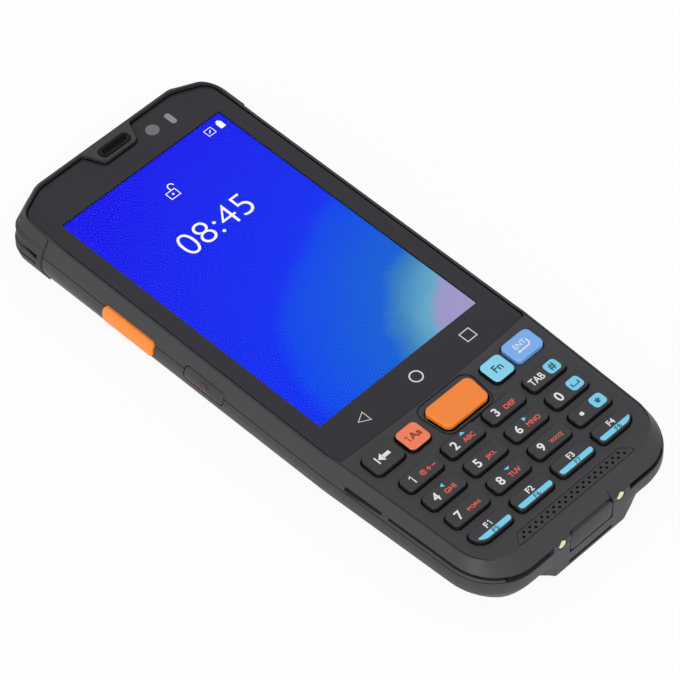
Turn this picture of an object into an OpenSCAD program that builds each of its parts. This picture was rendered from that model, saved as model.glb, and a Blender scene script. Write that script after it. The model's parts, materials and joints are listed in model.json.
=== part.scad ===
// Rugged keypad data terminal with a scanner window in its top end.
// X is right, Y runs from the keypad end to the scanner end, Z comes out of the screen.
// The origin is under the middle of the body, on its flat back. Millimetres.

/* [Body] */
// Width from the lit picture to the widest part of the side
side_border = 8.13; // [7.6:0.01:11]
// How much each side has drawn in where the keypad end starts to round off
tail_taper = 1.5; // [0.5:0.05:3]
// Length from the scanner end to the lit picture
head_l = 13.8; // [13:0.1:18]
// Length from the lit picture to the lower edge of the glass
chin_l = 11.7; // [10:0.1:15]
// Height of the rims beside the screen above the flat back
rim_z = 15.2; // [14.8:0.1:18]
// How far the keypad deck stands above the rims
deck_rise = 0.5; // [0.3:0.05:1]
// How far the rim at the scanner end stands above the side rims
crown_rise = 0.9; // [0.5:0.1:2]
// Depth of the front housing, from the side rims down to the seam
front_depth = 4.3; // [4:0.1:5]
// Wall of the rear housing
wall = 1.8; // [1.6:0.1:2.4]
// Radius of the corners at the keypad end
tail_r = 13.5; // [11:0.5:15]
// Radius of the corners at the scanner end
crown_r = 7.5; // [6.5:0.5:9]
// Length of the slanted edge beside each scanner-end corner
crown_run = 6; // [4:0.5:8]
// How much narrower the flat back is than the sides, each side
back_lean = 4.15; // [3:0.05:4.5]
// How much more than that the back draws in at the keypad end, and less at the scanner end
lean_drift = 0.8; // [0:0.1:1]
// How much narrower the rims are than the sides, each side
rim_lean = 2.6; // [2.4:0.05:3.1]

/* [Corner bumpers] */
// How far the bumpers stand out from the housings
bumper_proud = 0.4; // [0.2:0.05:0.9]
// How deep the bumpers are let into the housings
bumper_sink = 1; // [0.6:0.1:1.2]
// Length of a bumper along the side, from the scanner end
bumper_l = 15; // [14:0.5:20]

/* [Screen] */
// Width of the lit picture
picture_w = 51.84; // [48:0.01:52]
// Length of the lit picture
picture_l = 86.4; // [80:0.1:87]
// Thickness of the cover glass
glass_t = 0.7; // [0.5:0.05:0.9]
// Step from the side rims down to the glass
glass_step = 0.15; // [0.05:0.05:0.3]
// Width of the side rim beside the glass, from the widest side
glass_rim = 3.55; // [3.4:0.05:3.8]
// Width of the rim between the glass and the scanner end
glass_top_rim = 1.6; // [1.2:0.1:1.8]
// Width of the gap round the glass
glass_gap = 0.28; // [0.1:0.01:0.35]
// Thickness of the display panel
panel_t = 1.6; // [1.2:0.1:1.8]

/* [Keypad] */
// Width of the deck outside the key columns, on each side
key_margin = 5.65; // [5.4:0.05:6.5]
// Pitch of the key rows
row_pitch = 7.1; // [6.9:0.1:7.4]
// Width of the bars between the key columns
key_bar = 1.8; // [1.5:0.1:2.4]
// Height of a keypad opening
key_hole_h = 5.1; // [5:0.1:5.6]
// Clearance around a key cap in its opening
key_gap = 0.3; // [0.2:0.05:0.4]
// How far the key caps stand above the deck
key_rise = 1.1; // [0.8:0.1:1.4]
// Travel of a key
key_travel = 0.6; // [0.4:0.05:0.6]
// Thickness of the deck above the key flanges
deck_t = 1.8; // [1.6:0.1:2]
// Distance from the keypad end to the lowest row of keys
first_row = 12.4; // [12:0.1:12.8]
// Distance from the uppermost of those rows to the large scan key
grid_drop = 8.2; // [8.2:0.1:10]
// Distance from the large scan key to the lower edge of the glass
scan_drop = 6.7; // [6.4:0.1:9]
// Width of the large scan key's opening at its top
scan_w = 15.8; // [13:0.1:17]
// Width of the openings beside the large scan key
shift_w = 7; // [6:0.1:7.4]
// Diameter of a sound hole
sound_hole_d = 0.75; // [0.5:0.05:0.9]

/* [Side keys] */
// Length of the side scan button
trigger_l = 16.9; // [14:0.1:18]
// Height of the side scan button
trigger_h = 4.4; // [4:0.1:4.6]
// How far the side scan button stands out from the side
trigger_proud = 0.6; // [0.3:0.05:0.8]
// Distance from the middle of the picture to the middle of the side scan button
trigger_y = 11.9; // [11:0.1:13]
// Length of the power button
power_l = 12.8; // [10:0.2:14]
// Height of the power button
power_h = 3.6; // [3:0.1:3.8]
// Distance from the middle of the picture to the middle of the power button
power_y = -13.1; // [-14:0.1:-12]
// Length of the volume rocker
volume_l = 18; // [14:0.2:20]
// Travel of the side keys
side_travel = 0.5; // [0.3:0.05:0.5]
// Clearance around a side key in its opening
side_gap = 0.2; // [0.1:0.01:0.2]

/* [Connector end] */
// Width of the connector flap
flap_w = 14; // [13:0.2:14.6]
// Height of the connector flap
flap_h = 6.1; // [5.8:0.1:6.4]
// Thickness of the connector flap
flap_t = 1.2; // [1:0.1:1.3]
// Clearance around the flap in its pocket
flap_gap = 0.15; // [0.1:0.01:0.2]
// Distance between the charging contacts
contact_pitch = 19.2; // [19:0.1:20]
// Diameter of a charging contact
contact_d = 2.4; // [1.8:0.1:2.4]

/* [Battery] */
// Length of the battery door
door_l = 72; // [60:0.5:80]
// Width of the flat back beside the battery door
door_margin = 5.1; // [4.9:0.1:8]
// Thickness of the battery door
door_t = 1; // [0.8:0.1:1.2]

/* [Hidden] */

shell_colour = [0.2, 0.2, 0.21];
key_colour = [0.17, 0.17, 0.18];
orange = [1, 0.5, 0.15];
salmon = [0.98, 0.53, 0.37];
cyan = [0.5, 0.86, 0.98];
blue = [0.37, 0.61, 0.96];
metal = [0.7, 0.7, 0.72];
gold = [0.9, 0.82, 0.6];
board_colour = [0.1, 0.35, 0.2];

// Clearance between two fixed pieces that sit side by side
fit = 0.1;
// Reach of a cut past the face that it opens
past = 1;
far = 200;

// Widths and lengths that the sizes above add up to
body_w = picture_w + 2 * side_border;
tail_w = body_w - 2 * tail_taper;
screen_drop = head_l + picture_l / 2;
glass_foot = picture_l / 2 + chin_l;
column_pitch = (tail_w - 2 * key_margin) / 4;
key_hole_w = column_pitch - key_bar;
body_l = bumper_proud + head_l + picture_l + chin_l + scan_drop + grid_drop + 3 * row_pitch
    + first_row;

// Heights
seam_z = rim_z - front_depth;
deck_z = rim_z + deck_rise;
crown_z = rim_z + crown_rise;
belly_z = 7.4;
cheek_z = rim_z - 5.6;
lip_z = rim_z - 2.9;
tail_slope = 1.18;
crown_slope = 25;
crown_ease = 8;
glass_z = rim_z - glass_step;
ledge_z = glass_z - glass_t;
deck_under = deck_z - deck_t;

// Places along the body
tail_y = -body_l / 2;
top_y = body_l / 2 - bumper_proud;
screen_y = top_y - screen_drop;
foot_y = screen_y - glass_foot;
shoulder_y = foot_y + 4.9;
shoulder_r = 60;
key_y0 = tail_y + first_row;
scan_y = foot_y - scan_drop;

// An elliptical arc about (cx, cy), from angle a to angle b in n steps
function arc(cx, cy, rx, ry, a, b, n) =
    [for (i = [0:n]) let (t = a + (b - a) * i / n) [cx + rx * cos(t), cy + ry * sin(t)]];

// A right half outline and its mirror image, joined anticlockwise
function both_sides(right) = concat(
    right, [for (i = [len(right) - 1:-1:0]) [-right[i].x, right[i].y]]);

// The corner at the scanner end: a round, a slanted edge and an easing round
function crown_path(hw, top, r, run, ease, dx, dy) =
    let (a = 90 - crown_slope,
         cy = top - ease + ease * sin(a) - run * cos(a) - r * sin(a),
         ex = hw - r + r * cos(a) - run * sin(a) - ease * cos(a))
    concat(arc(hw - r, cy, r - dx, r - dy, 0, a, 10),
           arc(ex, top - ease, ease - dx, ease - dy, a, 90, 4));

// The body's outline, moved in by dx at the sides, dt at the keypad end, dc at the scanner end,
// with the corners of the keypad end made larger by more; the sides come in by shares of drift
// more at the keypad end, and by drift less at the scanner end
tail_share = 2.1;
shoulder_share = 0.7;
function body_outline(dx, dt, dc, more = 0, drift = 0) =
    let (hw = body_w / 2, tw = tail_w / 2, r = tail_r + more,
         taper = atan2(hw - tw, shoulder_y - tail_y - tail_r))
    both_sides(concat(
        arc(tw - r, tail_y + r, r - dx - drift * tail_share, r - dt, -90, -taper, 12),
        arc(hw - shoulder_r, shoulder_y, shoulder_r - dx - drift * shoulder_share, shoulder_r,
            -taper, 0, 2),
        crown_path(hw, top_y, crown_r, crown_run, crown_ease, dx - drift, dc)));

// How far the sides, the keypad end and the scanner end lean in at height z
function back_curve(z) = z < belly_z ? pow((belly_z - z) / belly_z, 1.25) : 0;
function side_in(z) = back_lean * back_curve(z)
    + (z > cheek_z ? rim_lean * pow(min(1, (z - cheek_z) / (rim_z - cheek_z)), 1.2) : 0)
    + max(0, z - rim_z) * 0.35;
function tail_in(z) = back_lean * back_curve(z) + max(0, z - lip_z) * tail_slope;
function top_in(z) = back_lean * 0.75 * back_curve(z) + max(0, z - cheek_z) * 0.1;

// A solid skinned over rings of equal length at rising heights
module skin_over(rings, heights) {
    n = len(rings[0]);
    m = len(rings);
    polyhedron(
        points = [for (k = [0:m - 1]) for (p = rings[k]) [p.x, p.y, heights[k]]],
        faces = concat(
            [[for (i = [0:n - 1]) i]],
            [[for (i = [n - 1:-1:0]) (m - 1) * n + i]],
            [for (k = [0:m - 2]) for (i = [0:n - 1])
                [k * n + i, (k + 1) * n + i, (k + 1) * n + (i + 1) % n, k * n + (i + 1) % n]]));
}

// The body's outer form between the given heights, grown all round by proud
tail_bulge = -1;
module body_skin(heights, proud = 0)
    skin_over([for (z = heights)
        body_outline(side_in(z) - proud, tail_in(z) - proud, top_in(z) - proud,
            tail_bulge * back_curve(z), lean_drift * back_curve(z))],
        heights);

rear_levels = [0, 0.7, 2, 3.5, 5, 6.3, belly_z, cheek_z, seam_z];
front_levels = [seam_z, lip_z - 0.6, lip_z, lip_z + 0.8, lip_z + 1.8, rim_z, crown_z];
wall_levels = [2, 3.5, 5, 6.3, belly_z, cheek_z, seam_z, lip_z, lip_z + 1.8];

// Heights that the front housing may reach along its length, seen from the side
module front_envelope() {
    crown_start = top_y - 22;
    crown_full = top_y - 5;
    rotate([90, 0, 90]) translate([0, 0, -far / 2]) linear_extrude(far) polygon([
        [-far, seam_z], [far, seam_z], [far, crown_z], [crown_full, crown_z],
        [crown_start, rim_z], [foot_y + 5, rim_z], [foot_y + 1.4, deck_z], [-far, deck_z]]);
}

// A rounded trapezoid, wt wide at the top and wb at the bottom
function trapezoid(wt, wb, h, r, n = 6) =
    let (a = atan2((wt - wb) / 2, h),
         low_x = wb / 2 + r * tan(a) - r / cos(a),
         high_x = wt / 2 - r * tan(a) - r / cos(a))
    both_sides(concat(
        arc(low_x, -h / 2 + r, r, r, -90, -a, n),
        arc(high_x, h / 2 - r, r, r, -a, 90, n)));

module plate(w, h, r, z0, z1)
    translate([0, 0, z0]) linear_extrude(z1 - z0) polygon(trapezoid(w, w, h, r));

// A plate that stands in the side of the body: l along Y, h along Z, between x0 and x1
module side_plate(l, h, r, x0, x1)
    translate([x0, 0, 0]) rotate([90, 0, 90]) linear_extrude(x1 - x0) polygon(trapezoid(l, l, h, r));

// A plate that stands in an end of the body: w along X, h along Z, between y0 and y1
module end_plate(w, h, r, y0, y1)
    translate([0, y1, 0]) rotate([90, 0, 0]) linear_extrude(y1 - y0) polygon(trapezoid(w, w, h, r));

module block(x0, x1, y0, y1, z0, z1) translate([x0, y0, z0]) cube([x1 - x0, y1 - y0, z1 - z0]);

module both_x() {
    children();
    mirror([1, 0, 0]) children();
}

// ---- Screen ----

glass_hw = body_w / 2 - glass_rim;
glass_top = top_y - glass_top_rim;

// Outline of the cover glass, moved in by d, without the earpiece notch
function glass_outline(d) =
    let (foot_rise = 0.9, r = 1)
    both_sides(concat(
        [for (i = [0:5]) let (x = (glass_hw - r) * i / 6)
            [x, foot_y + d + foot_rise * pow(x / (glass_hw - r), 2)]],
        arc(glass_hw - r, foot_y + foot_rise + r, r - d, r - d, -90, 0, 5),
        crown_path(glass_hw, glass_top, crown_r - 2.9, crown_run - 1, crown_ease, d, d)));

panel_border = 2.6;
panel_foot = 5.6;
panel_head = 2;
panel_w = picture_w + 2 * panel_border;
panel_y0 = screen_y - picture_l / 2 - panel_foot;
panel_y1 = screen_y + picture_l / 2 + panel_head;

// The earpiece pod reaches into the glass from the scanner end
pod_y = panel_y1 + 4.8;
pod_r = 1.3;
pod_hw = 8.4;
function pod_outline(d) = both_sides(concat(
    arc(4.35, pod_y + pod_r, pod_r + d, pod_r + d, -90, -20, 5),
    [[7.1 + d, pod_y + 4.6], [pod_hw + d, pod_y + 6.2], [pod_hw + d, top_y]]));

module glass_shape(d) difference() {
    polygon(glass_outline(d));
    polygon(pod_outline(d + glass_gap));
}

panel_z = ledge_z - 0.05;

module cover_glass() color([0.1, 0.1, 0.11])
    translate([0, 0, ledge_z]) linear_extrude(glass_t) glass_shape(0);

module display_panel() color([0.1, 0.15, 0.9])
    block(-panel_w / 2, panel_w / 2, panel_y0, panel_y1, panel_z - panel_t, panel_z);

// The metal frame behind the display, with rails that back the side keys
frame_t = 1.5;
frame_top = panel_z - panel_t;
flange_t = 0.8;
rail_t = 0.7;
rail_depth = 2;
rail_x = body_w / 2 - wall - side_travel - rail_depth;
step_in = 5;
step_w = 2;
step_foot = 2;
step_head = 10;
module mid_frame() color(metal) {
    step_x = panel_w / 2 - step_in;
    step_y0 = panel_y0 + step_foot;
    step_y1 = panel_y1 - step_head;
    block(-panel_w / 2, panel_w / 2, panel_y0, panel_y1, frame_top - frame_t, frame_top);
    both_x() {
        block(step_x, rail_x, step_y0, step_y1, seam_z - flange_t, seam_z);
        block(step_x, step_x + step_w, step_y0, step_y1, seam_z - flange_t, frame_top - frame_t);
        block(rail_x - rail_t, rail_x, power_yy - power_l / 2 - step_w,
            trigger_yy + trigger_l / 2 + step_w, switch_z, seam_z);
    }
}

// ---- Earpiece, camera and light sensor in the top of the screen ----

ear_y = pod_y + 2.5;
ear_w = 9.6;
ear_h = 3.3;
ear_mesh_z = crown_z - 0.5;
ear_slot = [0.15, 0.95];
ear_slot_pitch = 0.58;
ear_pocket_z = ear_mesh_z - 0.9;

module earpiece_grille() color([0.08, 0.08, 0.08]) difference() {
    translate([0, ear_y, 0])
        plate(ear_w - 2 * fit, ear_h - 2 * fit, 1.3, ear_mesh_z, ear_mesh_z + 0.7);
    // Slanted slots
    for (i = [-6:6]) translate([i * ear_slot_pitch, ear_y, 0]) rotate(-30)
        block(-ear_slot.x, ear_slot.x, -ear_slot.y, ear_slot.y, ear_mesh_z - past, far);
}

module earpiece_speaker() color([0.3, 0.3, 0.3])
    translate([0, ear_y, 0]) plate(11, 4.4, 1, ear_pocket_z - 2.3, ear_pocket_z - fit);

camera_x = 10.4;
camera_y = pod_y + 0.2;
camera_r = 2.6;
camera_tip_r = 1.75;
camera_tip = 0.6;
module front_camera() color([0.35, 0.35, 0.36]) translate([camera_x, camera_y, seam_z + fit]) {
    tube_h = ledge_z - seam_z - 2 * fit;
    cylinder(r = camera_r, h = tube_h - camera_tip, $fn = 48);
    cylinder(r = camera_tip_r, h = tube_h, $fn = 48);
}

sensor_x = 16.1;
sensor_y = pod_y - 0.2;
sensor_w = 2.6;
sensor_l = 4.8;
module light_sensor() color([0.5, 0.5, 0.53]) translate([sensor_x, sensor_y, 0])
    plate(sensor_w, sensor_l, 0.6, seam_z + 1.2, ledge_z - fit);

// ---- Keypad ----

flange_w = 0.5;
top_flange_w = 0.35;
key_flange_t = 0.6;
key_foot_l = 0.8;
key_foot_r = 1.6;
flange_top = deck_under - fit;
key_foot = flange_top - key_flange_t - key_foot_l;
membrane_top = key_foot - key_travel - fit;
membrane_t = 0.8;
board_t = 1;
key_top = deck_z + key_rise;
scan_more = 0.2;
scan_top = key_top + scan_more;

// Column and row centres; row 0 holds the function keys
function column_x(c) = (c - 1.5) * column_pitch;
function row_yy(r) = key_y0 + r * row_pitch;

// A rounded key whose lower corner on the right has its own radius
function key_outline(w, h, r, low_r, n = 6) = concat(
    arc(w / 2 - low_r, -h / 2 + low_r, low_r, low_r, -90, 0, n),
    arc(w / 2 - r, h / 2 - r, r, r, 0, 90, n),
    arc(-w / 2 + r, h / 2 - r, r, r, 90, 180, n),
    arc(-w / 2 + r, -h / 2 + r, r, r, 180, 270, n));

// The outer corners of the lowest row follow the round corners of the body
key_r = 1.5;
end_key_r = key_hole_h - key_r - 0.1;
module grid_shape(c, r, grow) {
    low_r = r == 0 && (c == 0 || c == 3) ? end_key_r : key_r;
    translate([column_x(c), row_yy(r)]) mirror([c == 0 ? 1 : 0, 0, 0])
        polygon(key_outline(key_hole_w + 2 * grow, key_hole_h + 2 * grow, key_r + grow, low_r + grow));
}

// Cap, flange and foot of one key; the cap's outline is the child, and so is the flange's
module key_solid(top_z) {
    translate([0, 0, flange_top - key_flange_t])
        linear_extrude(top_z - flange_top + key_flange_t) children(0);
    translate([0, 0, flange_top - key_flange_t]) linear_extrude(key_flange_t) children(1);
    translate([0, 0, key_foot]) linear_extrude(flange_top - key_flange_t - key_foot) children(2);
}

module grid_key(c, r, paint = key_colour) color(paint) key_solid(key_top) {
    grid_shape(c, r, -key_gap);
    grid_shape(c, r, flange_w);
    translate([column_x(c), row_yy(r)]) circle(r = key_foot_r, $fn = 32);
}

// The five large keys above the grid; the outer two fill what the others leave of the width
top_margin = 4.9;
scan_side = 2.45;
shift_side = 0.7;
scan_taper = 1.6;
scan_h = 8.6;
shift_h = 6.9;
enter_h = 7.1;
shift_x = scan_w / 2 + scan_side + shift_w / 2;
enter_x1 = tail_w / 2 - top_margin;
enter_x0 = shift_x + shift_w / 2 + shift_side;
enter_x = (enter_x0 + enter_x1) / 2;
enter_w = enter_x1 - enter_x0;
shift_yy = scan_y + 0.6;
enter_yy = scan_y + 1.2;
// Place, width at top and bottom, height, corner radius
top_keys = [
    ["back", [-enter_x, enter_yy], enter_w, enter_w, enter_h, 1.8],
    ["shift", [-shift_x, shift_yy], shift_w, shift_w, shift_h, 1.6],
    ["scan", [0, scan_y], scan_w, scan_w - scan_taper, scan_h, 2.1],
    ["fn", [shift_x, shift_yy], shift_w, shift_w, shift_h, 1.6],
    ["enter", [enter_x, enter_yy], enter_w, enter_w, enter_h, 1.8]
];
module top_shape(i, grow) {
    k = top_keys[i];
    translate(k[1])
        polygon(trapezoid(k[2] + 2 * grow, k[3] + 2 * grow, k[4] + 2 * grow, k[5] + grow));
}
module top_key(i, paint, top_z = key_top) color(paint) key_solid(top_z) {
    top_shape(i, -key_gap);
    top_shape(i, top_flange_w);
    translate(top_keys[i][1]) circle(r = key_foot_r, $fn = 32);
}

module key_back() top_key(0, key_colour);
module key_shift() top_key(1, salmon);
module key_scan() top_key(2, orange, scan_top);
module key_fn() top_key(3, cyan);
module key_enter() top_key(4, blue);
module key_1() grid_key(0, 3);
module key_2() grid_key(1, 3);
module key_3() grid_key(2, 3);
module key_tab() grid_key(3, 3);
module key_4() grid_key(0, 2);
module key_5() grid_key(1, 2);
module key_6() grid_key(2, 2);
module key_0() grid_key(3, 2);
module key_7() grid_key(0, 1);
module key_8() grid_key(1, 1);
module key_9() grid_key(2, 1);
module key_dot() grid_key(3, 1);
module key_f1() grid_key(0, 0);
module key_f2() grid_key(1, 0);
module key_f3() grid_key(2, 0);
module key_f4() grid_key(3, 0);

// The membrane and its board lie under all keys, with notches round the screw bosses
pad_hw = tail_w / 2 - key_margin - key_bar / 2 + flange_w;
pad_y0 = key_y0 - key_hole_h / 2 - 0.2;
pad_y1 = scan_y + scan_h / 2 + 0.9;
module pad_shape() difference() {
    translate([0, (pad_y0 + pad_y1) / 2])
        polygon(trapezoid(2 * pad_hw, 2 * pad_hw, pad_y1 - pad_y0, end_key_r));
    for (side = [-1, 1]) translate([side * screw_spots[1].x, screw_spots[1].y])
        circle(r = rear_boss_r + fit, $fn = 48);
}

module keypad_membrane() color([0.25, 0.25, 0.27])
    translate([0, 0, membrane_top - membrane_t]) linear_extrude(membrane_t) pad_shape();
module keypad_board() color(board_colour)
    translate([0, 0, membrane_top - membrane_t - board_t]) linear_extrude(board_t) pad_shape();

// Sound holes in two staggered rows across the keypad end
hole_pitch = 1.95;
hole_row_y = tail_y + 6.57;
hole_row_gap = 0.98;
module sound_holes() {
    for (i = [-8:8]) translate([i * hole_pitch, hole_row_y, deck_under - past])
        cylinder(d = sound_hole_d, h = deck_t + 2 * past, $fn = 16);
    for (i = [-9:8]) translate([(i + 0.5) * hole_pitch, hole_row_y - hole_row_gap, deck_under - past])
        cylinder(d = sound_hole_d, h = deck_t + 2 * past, $fn = 16);
}

mesh_y = hole_row_y - hole_row_gap / 2;
mesh_lap = 1.6;
mesh_t = 0.2;
speaker_w = 18;
speaker_l = 3.6;
speaker_t = 2.1;
module speaker_mesh() color([0.12, 0.12, 0.12]) translate([0, mesh_y, 0])
    plate(18 * hole_pitch + mesh_lap, hole_row_gap + mesh_lap, 0.6, deck_under - mesh_t, deck_under);
module loudspeaker() color([0.3, 0.3, 0.32]) translate([0, mesh_y + 0.9, 0])
    plate(speaker_w, speaker_l, 0.8, deck_under - mesh_t - fit - speaker_t, deck_under - mesh_t - fit);

// ---- Side keys ----

side_key_z = seam_z - 0.9;
switch_z = side_key_z - 2;
trigger_yy = screen_y + trigger_y;
power_yy = screen_y + power_y;
side_face_x = body_w / 2 - wall;
side_key_r = 1.1;
key_seat = 0.15;
ear_reach = 1.1;
ear_t = 0.6;
ear_half = 1.4;
ear_gap = 0.3;

// One side key on the left: its face follows the body's side, its ears stop it falling out
module side_key(yy, zz, l, h, proud) {
    ear_x = -side_face_x + key_seat;
    intersection() {
        body_skin(wall_levels, proud);
        translate([0, yy, zz]) side_plate(l, h, side_key_r, -far, ear_x + ear_t / 2);
    }
    translate([0, yy, zz]) {
        side_plate(l, h, side_key_r, -side_face_x, ear_x + ear_t);
        block(ear_x, ear_x + ear_t, -l / 2 - ear_reach, l / 2 + ear_reach, -ear_half, ear_half);
    }
}

module side_key_cut(yy, zz, l, h) translate([0, yy, zz]) {
    side_plate(l + 2 * side_gap, h + 2 * side_gap, side_key_r + side_gap, -body_w, -rail_x - fit);
    block(-side_face_x, -rail_x, -l / 2 - ear_reach - ear_gap, l / 2 + ear_reach + ear_gap,
        -ear_half - ear_gap, ear_half + ear_gap);
    block(-side_face_x, -rail_x, -l / 2 - side_gap, l / 2 + side_gap, -h / 2 - side_gap,
        h / 2 + side_gap);
}

trigger_z = side_key_z - 0.6;
power_z = side_key_z + 0.4;
volume_z = side_key_z + 0.5;
volume_h = 3.4;
volume_y = trigger_y + 0.9;
volume_yy = screen_y + volume_y;
flush = 0.02;

module side_scan_button() color(orange)
    side_key(trigger_yy, trigger_z, trigger_l, trigger_h, trigger_proud);
module power_button() color(key_colour) side_key(power_yy, power_z, power_l, power_h, flush);

// The rocker tips about the pin through its middle, so its ears lie deeper
pivot_r = 0.6;
pivot_reach = 0.5;
rocker_seat = 0.4;
module volume_pivot(grow) translate([-side_face_x - key_seat, volume_yy,
    volume_z - volume_h / 2 - pivot_reach - grow])
    cylinder(r = pivot_r + grow, h = volume_h + 2 * (pivot_reach + grow), $fn = 32);
module volume_rocker() color(key_colour) mirror([1, 0, 0]) {
    ear_x = -side_face_x + rocker_seat;
    intersection() {
        body_skin(wall_levels, flush);
        translate([0, volume_yy, volume_z])
            side_plate(volume_l, volume_h, side_key_r, -far, ear_x + rocker_seat);
    }
    translate([0, volume_yy, volume_z])
        block(ear_x, ear_x + ear_t, -volume_l / 2 - ear_reach, volume_l / 2 + ear_reach,
            -ear_half, ear_half);
    volume_pivot(0);
}

switch_board_t = 0.5;
module switch_board(y0, y1) block(-rail_x - fit - switch_board_t, -rail_x - fit, y0, y1,
    switch_z, seam_z - fit);
module side_key_board() color(board_colour)
    switch_board(power_yy - power_l / 2 - 1, trigger_yy + trigger_l / 2 + 1);
module volume_board() color(board_colour)
    mirror([1, 0, 0]) switch_board(volume_yy - volume_l / 2 - 1, volume_yy + volume_l / 2 + 1);

// ---- Connector end ----

flap_z0 = lip_z - flap_h;
flap_z = flap_z0 + flap_h / 2;
hinge_r = 0.4;
hinge_y = tail_y + 0.75;
hinge_z = flap_z0 + 1.2;
hinge_reach = 0.7;
hinge_swing = 1.4;
flap_sweep = 0.32;
flap_sweep_r = 0.8;
scoop_in = 0.9;
scoop_h = 2.2;
port_z = flap_z + 0.4;
port_w = 9;
port_h = 3.2;
port_y = tail_y + 2;
port_y1 = pad_y0 - 0.35;
port_wall = 0.3;
port_back = 1.2;
contact_z = seam_z + 0.4;
contact_l = 2.6;

module usb_flap() color([0.16, 0.16, 0.17]) {
    translate([0, 0, flap_z]) end_plate(flap_w, flap_h, 1.5, tail_y, tail_y + flap_t);
    translate([-flap_w / 2 - hinge_reach, hinge_y, hinge_z]) rotate([0, 90, 0])
        cylinder(r = hinge_r, h = flap_w + 2 * hinge_reach, $fn = 32);
    translate([0, 0, port_z]) end_plate(6.6, 1, 0.4, tail_y + flap_t - 0.1, port_y + 0.5);
}

module usb_flap_cut() {
    clear = flap_gap;
    translate([0, 0, flap_z]) end_plate(flap_w + 2 * clear, flap_h + 2 * clear, 1.5 + clear,
        tail_y - past, tail_y + flap_t + clear);
    // A shallow scoop in the lip, above the flap
    rotate([90, 0, 90]) translate([0, 0, -flap_w / 2]) linear_extrude(flap_w) polygon([
        [tail_y - past, lip_z - 1], [tail_y + scoop_in, lip_z - 1], [tail_y + scoop_in, lip_z + clear],
        [tail_y + scoop_h * tail_slope, lip_z + scoop_h], [tail_y - past, lip_z + scoop_h]]);
    // Room for the flap's lower edge as it swings down
    translate([0, 0, flap_z - flap_sweep]) end_plate(flap_w + 2 * clear, flap_h, flap_sweep_r,
        tail_y - past, tail_y + flap_t + clear);
    block(-flap_w / 2 - clear, flap_w / 2 + clear, tail_y, hinge_y + hinge_swing,
        hinge_z - hinge_swing, hinge_z + hinge_r + fit);
    translate([-flap_w / 2 - hinge_reach - clear, hinge_y, hinge_z]) rotate([0, 90, 0])
        cylinder(r = hinge_r + fit, h = flap_w + 2 * (hinge_reach + clear), $fn = 32);
    translate([0, 0, port_z]) end_plate(port_w + 0.4, port_h + 0.4, 1.7, tail_y, port_y + 2.5);
}

module usb_connector() color(metal) translate([0, 0, port_z]) difference() {
    end_plate(port_w, port_h, port_h / 2 - 0.05, port_y + fit, port_y1);
    difference() {
        end_plate(port_w - 2 * port_wall, port_h - 2 * port_wall, port_h / 2 - 0.05 - port_wall,
            port_y - past, port_y1 - port_back);
        end_plate(port_w - 2.4, 0.7, 0.2, port_y + 1.2, port_y1);
    }
}

link_z = port_z - port_h / 2;
link_hw = 12;
link_l = 15.2;
module connector_board() color(board_colour)
    block(-link_hw, link_hw, port_y + 0.8, port_y + 0.8 + link_l, link_z - board_t, link_z);

module charge_contacts() color(gold) both_x()
    translate([contact_pitch / 2, tail_y + 0.05, contact_z]) rotate([-90, 0, 0])
        cylinder(d = contact_d, h = contact_l, $fn = 32);

module contact_cuts() both_x() translate([contact_pitch / 2, tail_y - past, contact_z])
    rotate([-90, 0, 0]) cylinder(d = contact_d + 2 * fit, h = contact_l + 0.5 + past, $fn = 32);

// ---- Inside ----

door_hw = body_w / 2 - back_lean - door_margin;
door_y0 = tail_y + 18.25;
door_y1 = door_y0 + door_l;
door_r = 3;
door_lap = 1.2;
door_foot = 5;
door_head = 2;
bay_hw = door_hw - door_lap;
bay_y0 = door_y0 + door_foot;
bay_y1 = door_y1 - door_head;
bay_wall = 1;
bay_z = belly_z + 0.4;
main_z = bay_z + fit;
main_top = main_z + board_t;
pack_gap = 0.4;
tab_t = 0.7;
tab_x0 = 9;
tab_x1 = 15;
tab_reach = 1.4;
tab_z = wall + fit;

module battery_pack() color([0.15, 0.15, 0.15])
    block(-bay_hw + pack_gap, bay_hw - pack_gap, bay_y0 + pack_gap, bay_y1 - 2 * tab_reach,
        door_t + fit, belly_z - pack_gap);

small_r = 0.8;
small_head_r = 1.5;
small_head_t = 0.5;
small_z = 0.1;
small_l = 4.5;
small_slot = 0.2;
door_screw = [bay_hw - 3.6, door_y0 + 2.4];
grip_hw = 8;
grip_pitch = 1.6;
module at_door_screws() both_x() translate([door_screw.x, door_screw.y, 0]) children();
module battery_door() color(shell_colour) difference() {
    union() {
        translate([0, (door_y0 + door_y1) / 2, 0])
            plate(2 * door_hw, door_y1 - door_y0, door_r, 0, door_t);
        both_x() {
            block(tab_x0, tab_x1, bay_y1 - tab_reach, bay_y1 - 0.3, door_t, tab_z + tab_t);
            block(tab_x0, tab_x1, bay_y1 - tab_reach, bay_y1 + tab_reach, tab_z, tab_z + tab_t);
        }
    }
    at_door_screws() {
        translate([0, 0, -past]) cylinder(r = small_r + fit, h = 3, $fn = 32);
        translate([0, 0, -past]) cylinder(r = small_head_r + fit, h = past + small_z + small_head_t,
            $fn = 32);
    }
    for (i = [3:6]) block(-grip_hw, grip_hw, door_y1 - grip_pitch * i, door_y1 - grip_pitch * (i - 0.5),
        -past, 0.3);
}
module door_screws() color(metal) at_door_screws() translate([0, 0, small_z]) {
    difference() {
        cylinder(r = small_head_r, h = small_head_t, $fn = 32);
        for (a = [0, 90]) rotate(a)
            block(-0.9, 0.9, -small_slot, small_slot, -past, 0.3);
    }
    cylinder(r = small_r, h = small_l, $fn = 32);
}

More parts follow.
